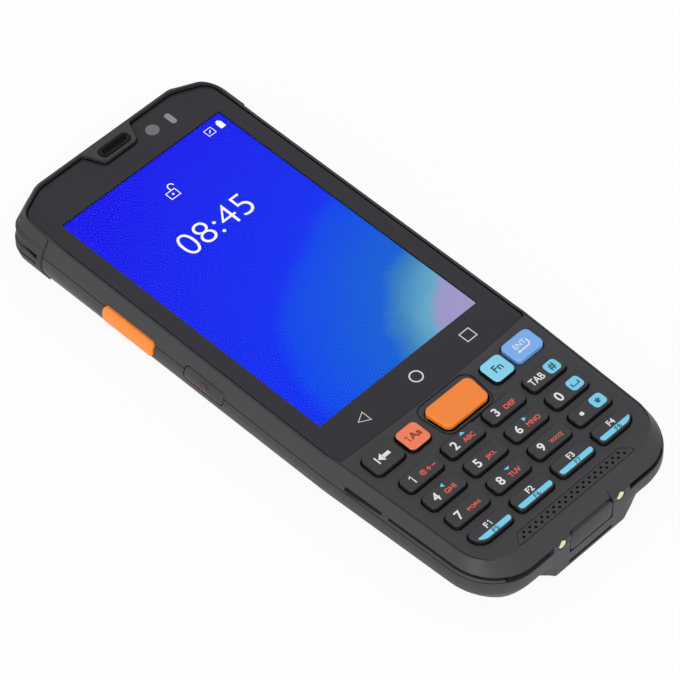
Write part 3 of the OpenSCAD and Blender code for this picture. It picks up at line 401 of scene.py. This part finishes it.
# %% Dress the smaller pieces
shells = {
    "corner_bumper_left": ("left_bumper", bumper_rubber, 0.22 * MM),
    "corner_bumper_right": ("right_bumper", bumper_rubber, 0.22 * MM),
    "battery_door": ("rear_door", shell_plastic, 0.15 * MM),
    "usb_flap": ("port_flap", flap_rubber, 0.25 * MM),
    "side_scan_button": ("orange_trigger", cap_orange, 0.25 * MM),
    "power_button": ("power_key", cap_black, 0.25 * MM),
    "volume_rocker": ("volume_key", cap_black, 0.25 * MM),
    "earpiece_grille": ("earpiece_mesh", mesh_black, 0.0),
    "speaker_mesh": ("sound_mesh", mesh_black, 0.0),
    "door_screws": ("door_screw_heads", black_steel, 0.06 * MM),
    "housing_screws": ("housing_screw_heads", black_steel, 0.08 * MM),
    "charge_contacts": ("gold_contacts", gold, 0.3 * MM),
    "usb_connector": ("port_shell", can_steel, 0.05 * MM),
}
for node, (name, finish, rounding) in shells.items():
    dressed = dress(node, name, finish, rounding)
    print(name, len(dressed.data.polygons), "faces")

# %% [markdown]
# ## The picture on the display
# The lit picture is a surface that shines by itself. It shows a made-up design: soft rings in
# blues that spread from one corner. A ramp over the distance from a point outside the screen
# paints them, which stays sharp at any size.

# %% Places on the screen
PICTURE_WIDTH = 51.84 * MM
PICTURE_LENGTH = 86.4 * MM
panel_low, panel_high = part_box("display_panel")
panel_foot = 5.6 * MM
screen = Vector((0, panel_low.y + panel_foot + PICTURE_LENGTH / 2, panel_high.z))
print("picture centre, mm:", [round(v / MM, 2) for v in screen])

# %% Light up the picture
picture_light = Finish("lit picture", base_color=(0, 0, 0, 1), roughness=0.3,
                       specular_ior_level=0.0)
ring_centre = screen + point(34, -52, 0)
from_centre = picture_light.node("ShaderNodeVectorMath", {"operation": "DISTANCE"},
                                 {0: picture_light.place(), 1: ring_centre}, "Value")
wander = picture_light.noise(26 * MM, detail=3)
ring = from_centre / (105 * MM) + (wander - 0.5) * 0.10
ramp = picture_light.tree.nodes.new("ShaderNodeValToRGB")
picture_light.plug(ramp.inputs[0], ring)
ramp_stops = [
    (0.00, srgb(172, 150, 190)), (0.21, srgb(156, 152, 202)), (0.235, srgb(96, 168, 200)),
    (0.29, srgb(60, 130, 190)), (0.33, srgb(20, 96, 214)), (0.52, srgb(12, 72, 236)),
    (0.56, srgb(16, 48, 240)), (1.00, srgb(24, 24, 236)),
]
for at, colour in ramp_stops[1:-1]:
    ramp.color_ramp.elements.new(at)
for element, (at, colour) in zip(ramp.color_ramp.elements, ramp_stops):
    element.position = at
    element.color = colour
picture_light.set(emission_color=Value(picture_light, ramp.outputs[0]), emission_strength=1.0)

lit_white = Finish("lit white", base_color=(0, 0, 0, 1), specular_ior_level=0.0,
                   emission_color=(1, 1, 1, 1), emission_strength=1.0)
panel = solid_copy("display_panel")
finished(panel, "lit_panel", [picture_light], "display", "terminal", ["display_panel"])

# %% [markdown]
# ## The cover glass
# Behind its border the glass is printed black, and over the picture it is clear. One mesh carries
# both: a mask built from distances decides where the print ends. The camera and the light sensor
# show as two grey spots in the print.

# %% Print and clear glass
glass = Finish("printed glass", roughness=0.07, specular_ior_level=0.2)
glass_x, glass_y = glass.axes()[:2]
across = abs(glass_x) < PICTURE_WIDTH / 2
along = abs(glass_y - screen.y) < PICTURE_LENGTH / 2
window = across * along


def spot(x, y, half_length, radius):
    """1 inside an upright capsule of the glass."""
    beyond = abs(glass_y - y) - half_length
    outside = glass.node("ShaderNodeMath", {"operation": "MAXIMUM"}, {0: beyond, 1: 0.0})
    reach = (glass_x - x) * (glass_x - x) + outside * outside
    return reach < radius * radius


camera_low, camera_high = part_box("front_camera")
sensor_low, sensor_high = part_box("light_sensor")
eye = (camera_low + camera_high) / 2
sensor = (sensor_low + sensor_high) / 2
eye_spot = spot(eye.x, eye.y, 0.0, 1.75 * MM)
sensor_spot = spot(sensor.x, sensor.y, 1.1 * MM, 0.8 * MM)
border = glass.mix(glass.noise(30 * MM), srgb(46, 46, 51), srgb(50, 50, 55))
border = glass.mix(eye_spot, border, srgb(118, 118, 120))
border = glass.mix(sensor_spot, border, srgb(146, 146, 156))
glass.set(base_color=border)
clear = glass.node("ShaderNodeBsdfPrincipled", {}, {
    "Base Color": (1, 1, 1, 1), "Roughness": 0.0, "IOR": 1.12, "Transmission Weight": 1.0})
face = glass.node("ShaderNodeMixShader", {}, {
    0: window, 1: Value(glass, glass.surface.outputs[0]), 2: clear})
glass.plug(glass.output.inputs["Surface"], face)
sheet = solid_copy("cover_glass")
rounded(sheet, 0.1 * MM)
finished(sheet, "front_glass", [glass], "cover_glass", "terminal", ["cover_glass"])
print("glass, mm:", [round(v / MM, 2) for v in glass_high - glass_low])

# %% [markdown]
# ## Inks and flat marks
# Legends are printed, so each is a flat shape a few hundredths of a millimetre proud of its cap.
# Words start as text curves, lines as curves with a round pen, and patches as a bevelled grid
# face. A Print gathers them in one mesh and turns it on to its surface.

# %% Inks
def ink(name, colour):
    """Matt print with slightly uneven cover."""
    finish = Finish(name, roughness=0.55)
    cover = finish.noise(0.5 * MM, detail=2)
    thin = tuple(level * 0.93 for level in colour[:3]) + (1,)
    finish.set(base_color=finish.mix(cover, thin, colour))
    return finish


white_ink = ink("white ink", srgb(240, 240, 240))
coral_ink = ink("coral ink", srgb(240, 96, 76))
cyan_ink = ink("cyan ink", srgb(122, 216, 248))
dark_ink = ink("dark ink", srgb(26, 74, 96))
deep_ink = ink("deep ink", srgb(12, 40, 54))
rust_ink = ink("rust ink", srgb(128, 40, 26))
pale_line = ink("pale line", srgb(226, 226, 230))
faint_red = ink("faint red ink", srgb(118, 60, 54))
# Painted shade: a near-black ink that stands in for the shadow in a groove
groove_shade_ink = ink("groove painted shade", srgb(20, 20, 22))
INK_DEPTH = 0.02 * MM


# %% A print
def drawn(curve):
    """The mesh that a curve makes."""
    holder = add(bpy.data.objects.new(curve.name, curve))
    bpy.context.view_layer.update()
    evaluated = holder.evaluated_get(bpy.context.evaluated_depsgraph_get())
    mesh = bpy.data.meshes.new_from_object(evaluated)
    bpy.data.objects.remove(holder)
    bpy.data.curves.remove(curve)
    return mesh


class Print:
    """Flat marks in the XY plane, in millimetres, gathered in one mesh."""

    def __init__(self):
        self.marks = bmesh.new()
        self.inks = []

    def take(self, before, finish):
        """Gives the newest faces their ink."""
        if finish not in self.inks:
            self.inks.append(finish)
        for mark in list(self.marks.faces)[before:]:
            mark.material_index = self.inks.index(finish)

    def words(self, text, height, x, y, finish, weight=0.0, align="CENTER", width=0.0):
        curve = bpy.data.curves.new("word", "FONT")
        curve.body = text
        curve.offset = weight
        mesh = drawn(curve)
        corners = [vert.co for vert in mesh.vertices]
        low = Vector([min(corner[axis] for corner in corners) for axis in range(3)])
        high = Vector([max(corner[axis] for corner in corners) for axis in range(3)])
        size = height * MM / (high.y - low.y)
        across = width * MM / (high.x - low.x) if width else size
        pivot = (low + high) / 2
        if align == "LEFT":
            pivot.x = low.x
        shift = Matrix.Translation(point(x, y, 0)) @ Matrix.Diagonal((across, size, 1, 1))
        mesh.transform(shift @ Matrix.Translation(-pivot))
        before = len(self.marks.faces)
        self.marks.from_mesh(mesh)
        self.take(before, finish)
        return self

    def line(self, points, width, finish, closed=False):
        curve = bpy.data.curves.new("line", "CURVE")
        curve.dimensions = "3D"
        curve.bevel_depth = width * MM / 2
        curve.bevel_resolution = 1
        curve.use_fill_caps = True
        spline = curve.splines.new("POLY")
        spline.points.add(len(points) - 1)
        spline.use_cyclic_u = closed
        for knot, (x, y) in zip(spline.points, points):
            knot.co = (x * MM, y * MM, 0, 1)
        mesh = drawn(curve)
        mesh.transform(Matrix.Diagonal((1, 1, INK_DEPTH / (width * MM / 2), 1)))
        before = len(self.marks.faces)
        self.marks.from_mesh(mesh)
        self.take(before, finish)
        return self

    def patch(self, width, height, radius, x, y, finish, lift=0.0):
        """A rounded rectangle, lifted a little where another ink lies under it."""
        before = len(self.marks.faces)
        sheet = bmesh.new()
        bmesh.ops.create_grid(sheet, x_segments=1, y_segments=1, size=0.5)
        bmesh.ops.scale(sheet, vec=(width * MM, height * MM, 1), verts=sheet.verts)
        bmesh.ops.bevel(sheet, geom=sheet.verts, offset=radius * MM, segments=5, profile=0.5,
                        affect="VERTICES", material=-1)
        bmesh.ops.translate(sheet, vec=point(x, y, lift), verts=sheet.verts)
        held = bpy.data.meshes.new("patch")
        sheet.to_mesh(held)
        sheet.free()
        self.marks.from_mesh(held)
        self.take(before, finish)
        return self

    def shape(self, corners, finish):
        """A flat face through a few corners."""
        before = len(self.marks.faces)
        self.marks.faces.new([self.marks.verts.new(point(x, y, 0)) for x, y in corners])
        self.take(before, finish)
        return self

    def laid(self, name, at, slot, body, turn=Matrix.Identity(4)):
        """Turns the print on to its surface and makes it a piece."""
        self.marks.transform(Matrix.Translation(at) @ turn)
        return finished(self.marks, name, self.inks, slot, body)


def arc(x, y, radius, start, end, steps=14):
    """Points along an arc, angles in degrees."""
    angles = [math.radians(start + (end - start) * i / steps) for i in range(steps + 1)]
    return [(x + radius * math.cos(angle), y + radius * math.sin(angle)) for angle in angles]


# %% [markdown]
# ## Key caps
# A cap has a flat top and softly rounded upper edges, and its sides go down into the deck. Only
# the top edge is bevelled, with bmesh, because the flange below is out of sight. Below a height
# every cap is painted darker: on the coloured caps this is partly a black skirt, and on all caps it
# is painted shade of the gap round the cap. Only faces above that height take the cap's own colour.

# %% Make the caps
def key_cap(node, name, top_finish, side_shade_finish, rounding, colour_depth):
    shape = solid_copy(node)
    top = max(vert.co.z for vert in shape.verts)
    rim = [edge for edge in shape.edges if all(vert.co.z > top - 0.01 * MM for vert in edge.verts)]
    bmesh.ops.bevel(shape, geom=rim, offset=rounding, segments=4, profile=0.5, affect="EDGES",
                    material=-1)
    for face in shape.faces:
        # Faces below the coloured top take the side finish: painted shade, on coloured caps partly a
        # black skirt.
        face.material_index = 0 if face.calc_center_median().z > top - colour_depth else 1
    return finished(shape, name, [top_finish, side_shade_finish], slot_of(node), node, [node])


caps = {node: (cap_black, cap_side_and_painted_shade, 0.35 * MM, 0.45 * MM) for node in frame["bodies"]
        if node.startswith("key_")}
caps["key_shift"] = (cap_salmon, cap_side_and_painted_shade, 0.3 * MM, 0.32 * MM)
caps["key_fn"] = (cap_cyan, cap_side_and_painted_shade, 0.3 * MM, 0.32 * MM)
caps["key_enter"] = (cap_blue, cap_blue, 0.5 * MM, 9 * MM)
caps["key_scan"] = (cap_orange, cap_orange, 0.5 * MM, 9 * MM)
for node, (top_finish, side_shade_finish, rounding, colour_depth) in caps.items():
    key_cap(node, node.replace("key_", "cap_"), top_finish, side_shade_finish, rounding, colour_depth)
print("caps:", len(caps))

# %% [markdown]
# ## Legends
# Each legend is placed from the middle of its cap. Digits are white, the letters beside them
# coral, and arrows and patches cyan.

# %% Print the number keys
def cap_top(node):
    """The middle of a cap's top."""
    low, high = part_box(node)
    return Vector(((low.x + high.x) / 2, (low.y + high.y) / 2, high.z + 0.012 * MM))


DIGIT = 2.45
LETTER = 1.35
SMALL_LETTER = 1.05
digits = {
    "key_2": ("2", "ABC", 3.4, "up"), "key_3": ("3", "DEF", 3.3, None),
    "key_4": ("4", "GHI", 3.2, "left"), "key_5": ("5", "JKL", 3.1, None),
    "key_6": ("6", "MNO", 4.0, "right"), "key_7": ("7", "PQRS", 3.9, None),
    "key_8": ("8", "TUV", 3.5, "down"), "key_9": ("9", "WXYZ", 4.0, None),
}
arrows = {
    "up": [(0.1, 0), (1.7, 0), (0.9, 0.8)], "down": [(0.1, 0.6), (0.9, -0.1), (1.7, 0.6)],
    "left": [(0, 0.25), (0.9, -0.35), (0.9, 0.85)], "right": [(0, -0.35), (1.0, 0.25), (0, 0.85)],
}
for node, (digit, letters, width, arrow) in digits.items():
    legend = Print().words(digit, DIGIT, -2.7, 0, white_ink, weight=0.02)
    letter = LETTER if len(letters) == 3 else SMALL_LETTER
    legend.words(letters, letter, -0.3, -0.5, coral_ink, weight=0.025, align="LEFT", width=width)
    if arrow:
        legend.shape([(x, y + 1.05) for x, y in arrows[arrow]], cyan_ink)
    legend.laid(node.replace("key_", "legend_"), cap_top(node), slot_of(node), node)
print("number keys with letters:", len(digits))

# %% Print the one
def one(height, x, y):
    """The strokes of a figure one with its flag."""
    half = height / 2
    return [(x - 0.26 * height, y + half - 0.2 * height), (x, y + half), (x, y - half)]


legend = Print().line(one(2.3, -2.7, 0), 0.36, white_ink)
legend.words("@", 1.6, -0.5, -0.2, coral_ink, weight=0.02, align="LEFT")
legend.line([(1.5, -0.2), (2.7, -0.2)], 0.3, coral_ink).line([(2.1, 0.4), (2.1, -0.8)], 0.3, coral_ink)
legend.line([(3.1, -0.2), (4.2, -0.2)], 0.3, coral_ink)
legend.laid("legend_1", cap_top("key_1"), slot_of("key_1"), "key_1")

# %% Print the column on the right
PATCH_X = 2.75
side_legends = {
    "key_tab": Print().words("TAB", 2.0, -2.5, 0, white_ink, weight=0.015, width=4.3),
    "key_0": Print().words("0", 2.7, -2.7, 0, white_ink, weight=0.02),
    "key_dot": Print().patch(1.1, 1.1, 0.5, -2.7, 0, white_ink),
}
for node, legend in side_legends.items():
    legend.patch(3.8, 3.4, 1.0, PATCH_X, 0.1, cyan_ink, lift=-0.004)
side_legends["key_tab"].words("#", 2.2, PATCH_X, 0.1, dark_ink, weight=0.02)
side_legends["key_0"].line([(PATCH_X - 1, 0.5), (PATCH_X - 1, -0.4), (PATCH_X + 1, -0.4),
                            (PATCH_X + 1, 0.5)], 0.4, dark_ink)
side_legends["key_dot"].words("*", 1.7, PATCH_X, 0.1, dark_ink, weight=0.03)
for node, legend in side_legends.items():
    legend.laid(node.replace("key_", "legend_"), cap_top(node), slot_of(node), node)

# %% [markdown]
# ## Function keys
# Each carries a cyan bar that follows the cap's own outline. A rounded patch would stick out at the
# slanted corners, so the cap's top face is copied and inset, and all above a line is cut off.

# %% Print the function keys
BAR_INSET = 0.02 * MM
BAR_EDGE = -0.5
BAR_CORNER = 0.35 * MM


def bar_on(node):
    """The lower part of a cap's top face, with rounded ends."""
    cap = bpy.data.objects[node.replace("key_", "cap_")].data
    sheet = bmesh.new()
    sheet.from_mesh(cap)
    top = max(sheet.faces, key=lambda face: (round(face.calc_center_median().z / MM, 3),
                                             face.calc_area()))
    others = [face for face in sheet.faces if face is not top]
    bmesh.ops.delete(sheet, geom=others, context="FACES")
    ring = bmesh.ops.inset_region(sheet, faces=sheet.faces, thickness=BAR_INSET)["faces"]
    bmesh.ops.delete(sheet, geom=ring, context="FACES")
    middle = cap_top(node)
    bmesh.ops.bisect_plane(sheet, geom=sheet.verts[:] + sheet.edges[:] + sheet.faces[:],
                           plane_co=middle + point(0, BAR_EDGE, 0), plane_no=(0, 1, 0),
                           clear_outer=True)
    ends = [vert for vert in sheet.verts if abs(vert.co.y - middle.y - BAR_EDGE * MM) < 0.01 * MM]
    bmesh.ops.bevel(sheet, geom=ends, offset=BAR_CORNER, segments=3, profile=0.5, affect="VERTICES",
                    material=-1)
    bmesh.ops.translate(sheet, vec=point(0, 0, 0.008), verts=sheet.verts)
    for face in sheet.faces:
        face.material_index = 0
    return sheet


for number in range(1, 5):
    node = f"key_f{number}"
    finished(bar_on(node), f"bar_f{number}", [cyan_ink], slot_of(node), node)
    if number == 1:
        legend = Print().words("F", 1.6, -0.5, 0.85, white_ink, weight=0.02)
        legend.line(one(1.5, 0.75, 0.85), 0.28, white_ink)
    else:
        legend = Print().words(f"F{number}", 1.6, 0.1, 0.85, white_ink, weight=0.02)
    legend.words(f"F{number + 4}", 1.15, 0.3, -1.3, deep_ink, weight=0.01, width=1.75)
    legend.laid(f"legend_f{number}", cap_top(node), slot_of(node), node)

# %% Print the large keys
legend = Print().words("Aa", 2.05, 0.6, 0, rust_ink, weight=0.025)
legend.line(one(1.85, -1.6, 0), 0.33, rust_ink)
legend.laid("legend_shift", cap_top("key_shift"), "key_salmon", "key_shift")
legend = Print().words("Fn", 2.1, 0, 0, dark_ink, weight=0.02)
legend.laid("legend_fn", cap_top("key_fn"), "key_cyan", "key_fn")
legend = Print().line([(-1.95, -1.1), (-1.95, 1.1)], 0.38, white_ink)
legend.shape([(-1.6, 0), (-0.1, 1.25), (-0.1, -1.25)], white_ink)
legend.shape([(-0.2, 0.5), (-0.2, -0.5), (2.0, -0.5), (2.0, 0.5)], white_ink)
legend.laid("legend_back", cap_top("key_back"), "key_black", "key_back")
legend = Print().words("ENT", 1.4, -0.4, 0.55, white_ink, weight=0.01)
legend.line([(-2.2, -1.1), (0.9, -1.1)] + arc(0.9, -0.2, 0.9, -90, 0, 6) + [(1.8, 0.7)], 0.4,
            white_ink)
legend.shape([(-2.6, -1.1), (-1.7, -0.6), (-1.7, -1.6)], white_ink)
legend.laid("legend_enter", cap_top("key_enter"), "key_blue", "key_enter")

# %% [markdown]
# ## What the screen shows
# The clock, a lock and two status marks lie on the lit panel, under the glass. The three marks
# below the picture are printed on the glass.

# %% Clock, lock and status marks
clock = Print().words("08:45", 6.9, 0.3, 18.0, lit_white, weight=-0.014)
clock.line([(-1.4, 30.9), (1.4, 30.9), (1.4, 33.2), (-1.4, 33.2)], 0.32, lit_white, closed=True)
clock.line([(0.4, 33.3)] + arc(1.25, 34.2, 0.85, 180, -5, 8), 0.3, lit_white)
clock.patch(0.6, 0.6, 0.28, 0, 32.05, lit_white)
clock.line([(19.0, 39.2), (21.2, 39.2), (21.2, 41.3), (19.0, 41.3)], 0.27, lit_white, closed=True)
clock.line([(19.7, 39.9), (20.5, 40.6)], 0.27, lit_white)
clock.patch(1.6, 2.2, 0.22, 23.6, 40.1, lit_white)
clock.patch(0.85, 0.5, 0.1, 23.6, 41.4, lit_white)
clock.laid("screen_marks", screen + point(0, 0, 0.012), "display", "terminal")

# %% Marks below the picture
under_screen = Print().line([(-18.9, -48.6), (-16.2, -47.1), (-16.2, -50.1)], 0.38, pale_line, True)
under_screen.line(arc(0, -48.6, 1.6, 0, 345, 23), 0.38, pale_line, True)
under_screen.line([(15.8, -50.0), (18.8, -50.0), (18.8, -47.1), (15.8, -47.1)], 0.38, pale_line,
                  True)
under_screen.laid("glass_marks", Vector((0, screen.y, glass_high.z + 0.012 * MM)), "cover_glass",
                  "terminal")

# %% [markdown]
# ## Marks on the side key and the flap
# The power key carries the usual ring with a bar. The rubber flap's face is the outermost face of
# the terminal, so its three short lines stand only 0.002 mm proud of it, to keep to the solids' box,
# and they don't show in a render. The lines are painted shade, standing in for the shadow in the
# grooves of the flap's mark.

# %% Power sign and flap grip
face_left = Matrix.Rotation(math.radians(-90), 4, "Y") @ Matrix.Rotation(math.radians(-90), 4, "Z")
power_low, power_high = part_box("power_button")
power_sign = Print().line(arc(0, 0, 0.9, 125, 415), 0.24, faint_red)
power_sign.line([(0, 0.2), (0, 1.15)], 0.24, faint_red)
power_sign.laid("power_sign", Vector((power_low.x - 0.01 * MM, (power_low.y + power_high.y) / 2,
                                      (power_low.z + power_high.z) / 2)),
                "key_black", "power_button", face_left)

face_end = Matrix.Rotation(math.radians(90), 4, "X")
flap_low, flap_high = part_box("usb_flap")
grip = Print()
# Three lines of painted shade, where the flap's mark has grooves
for height, half_length in [(-0.7, 1.2), (0, 1.7), (0.7, 1.2)]:
    grip.line([(-half_length, height), (half_length, height)], 0.28, groove_shade_ink)
print("flap face, mm:", round((flap_high.x - flap_low.x) / MM, 1), "wide")
grip.laid("flap_grip", Vector((0, flap_low.y + 0.015 * MM, (flap_low.z + flap_high.z) / 2)),
          "flap", "usb_flap", face_end)

# %% [markdown]
# ## Windows and lenses on the scanner end and the back
# The scanner looks out through a dark red filter, and the rear camera through a small clear
# window. Both let light through, so their glass is a real transmitting one.

# %% Dress the windows
red_filter = Finish("red filter", base_color=srgb(96, 10, 16), roughness=0.05,
                    transmission_weight=0.6, ior=1.49, coat_weight=0.4)
red_filter.relief(red_filter.noise(9 * MM), 0.01 * MM)
lens_glass = Finish("lens window", base_color=srgb(30, 30, 36), roughness=0.04,
                    transmission_weight=0.7, ior=1.5, coat_weight=0.5)
lens_glass.relief(lens_glass.noise(6 * MM), 0.005 * MM)
flash_plastic = Finish("flash lens", roughness=0.25, transmission_weight=0.3)
flash_low, flash_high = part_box("flash_lens")
flash_middle = (flash_low + flash_high) / 2
ripples = flash_plastic.node("ShaderNodeVectorMath", {"operation": "DISTANCE"},
                             {0: flash_plastic.place(), 1: flash_middle}, "Value")
wave = flash_plastic.node("ShaderNodeMath", {"operation": "SINE"}, {0: ripples * (21 / MM)})
flash_plastic.set(base_color=flash_plastic.mix(wave * 0.5 + 0.5, srgb(236, 230, 200),
                                               srgb(250, 247, 230)))
flash_plastic.relief(wave, 0.03 * MM)
dress("scan_window", "scanner_window", red_filter, 0.1 * MM)
dress("camera_window", "lens_cover", lens_glass, 0.12 * MM)
dress("flash_lens", "flash_cover", flash_plastic, 0.1 * MM)

# %% [markdown]
# ## The works inside
# Boards, cans, motors and the battery stay as their solids: only their finish changes. They show
# when a housing is taken off.

# %% Finishes for the inner pieces
inner = {
    frame_metal: ["mid_frame"],
    module_plastic: ["earpiece_speaker", "front_camera", "light_sensor", "scan_engine",
                     "rear_camera", "loudspeaker"],
    flap_rubber: ["keypad_membrane"],
    board_lacquer: ["keypad_board", "main_board", "connector_board", "side_key_board",
                    "volume_board"],
    socket_plastic: ["board_link"],
    can_steel: ["shield_cans", "card_socket", "vibration_motor"],
    battery_wrap: ["battery_pack"],
}
for finish, nodes in inner.items():
    for node in nodes:
        held = frame["nodes"][node].data
        held.materials.clear()
        held.materials.append(finish.material)
print("inner pieces:", sum(len(nodes) for nodes in inner.values()))

# %% [markdown]
# ## Floor, lights and world
# The camera sees a white floor that still takes a soft shadow: for its rays, and for those that
# glossy or clear surfaces send out, the floor is mostly a plain white light, and the rest of it is
# matt. Making the lamps stronger instead would bleach the object.

# %% Floor
floor_finish = Finish("white floor", roughness=0.8, base_color=(0.92, 0.92, 0.92, 1))
rays = [floor_finish.node("ShaderNodeLightPath", {}, {}, kind)
        for kind in ("Is Camera Ray", "Is Glossy Ray", "Is Transmission Ray")]
seen = floor_finish.clamp(rays[0] + rays[1] + rays[2])
white = floor_finish.node("ShaderNodeEmission", {}, {"Strength": 1.0})
floor_look = floor_finish.node("ShaderNodeMixShader", {}, {
    0: seen * 0.93, 1: Value(floor_finish, floor_finish.surface.outputs[0]), 2: white})
floor_finish.plug(floor_finish.output.inputs["Surface"], floor_look)
floor_shape = bmesh.new()
bmesh.ops.create_grid(floor_shape, x_segments=1, y_segments=1, size=3.0)
floor_mesh = bpy.data.meshes.new("floor")
floor_shape.to_mesh(floor_mesh)
floor_shape.free()
floor_mesh.materials.append(floor_finish.material)
floor = add(bpy.data.objects.new("floor", floor_mesh))
floor.location.z = -0.02 * MM

# %% World and lamps
world = bpy.data.worlds.new("studio")
bpy.context.scene.world = world
world.use_nodes = True
background = world.node_tree.nodes["Background"]
background.inputs["Color"].default_value = (1, 1, 1, 1)
background.inputs["Strength"].default_value = 0.8


def lamp(name, at, size, power):
    """A square soft light that looks at the object."""
    light = bpy.data.lights.new(name, "AREA")
    light.shape = "SQUARE"
    light.size = size
    light.energy = power
    holder = add(bpy.data.objects.new(name, light))
    holder.location = at
    holder.rotation_mode = "QUATERNION"
    holder.rotation_quaternion = (-Vector(at)).to_track_quat("-Z", "Y")


lamp("key light", (-1.4, -0.5, 0.35), 0.8, 9)
lamp("fill light", (-0.1, -1.5, 0.3), 0.8, 2.5)

bpy.context.scene.view_settings.view_transform = "Standard"
print("lamps:", len(bpy.data.lights))
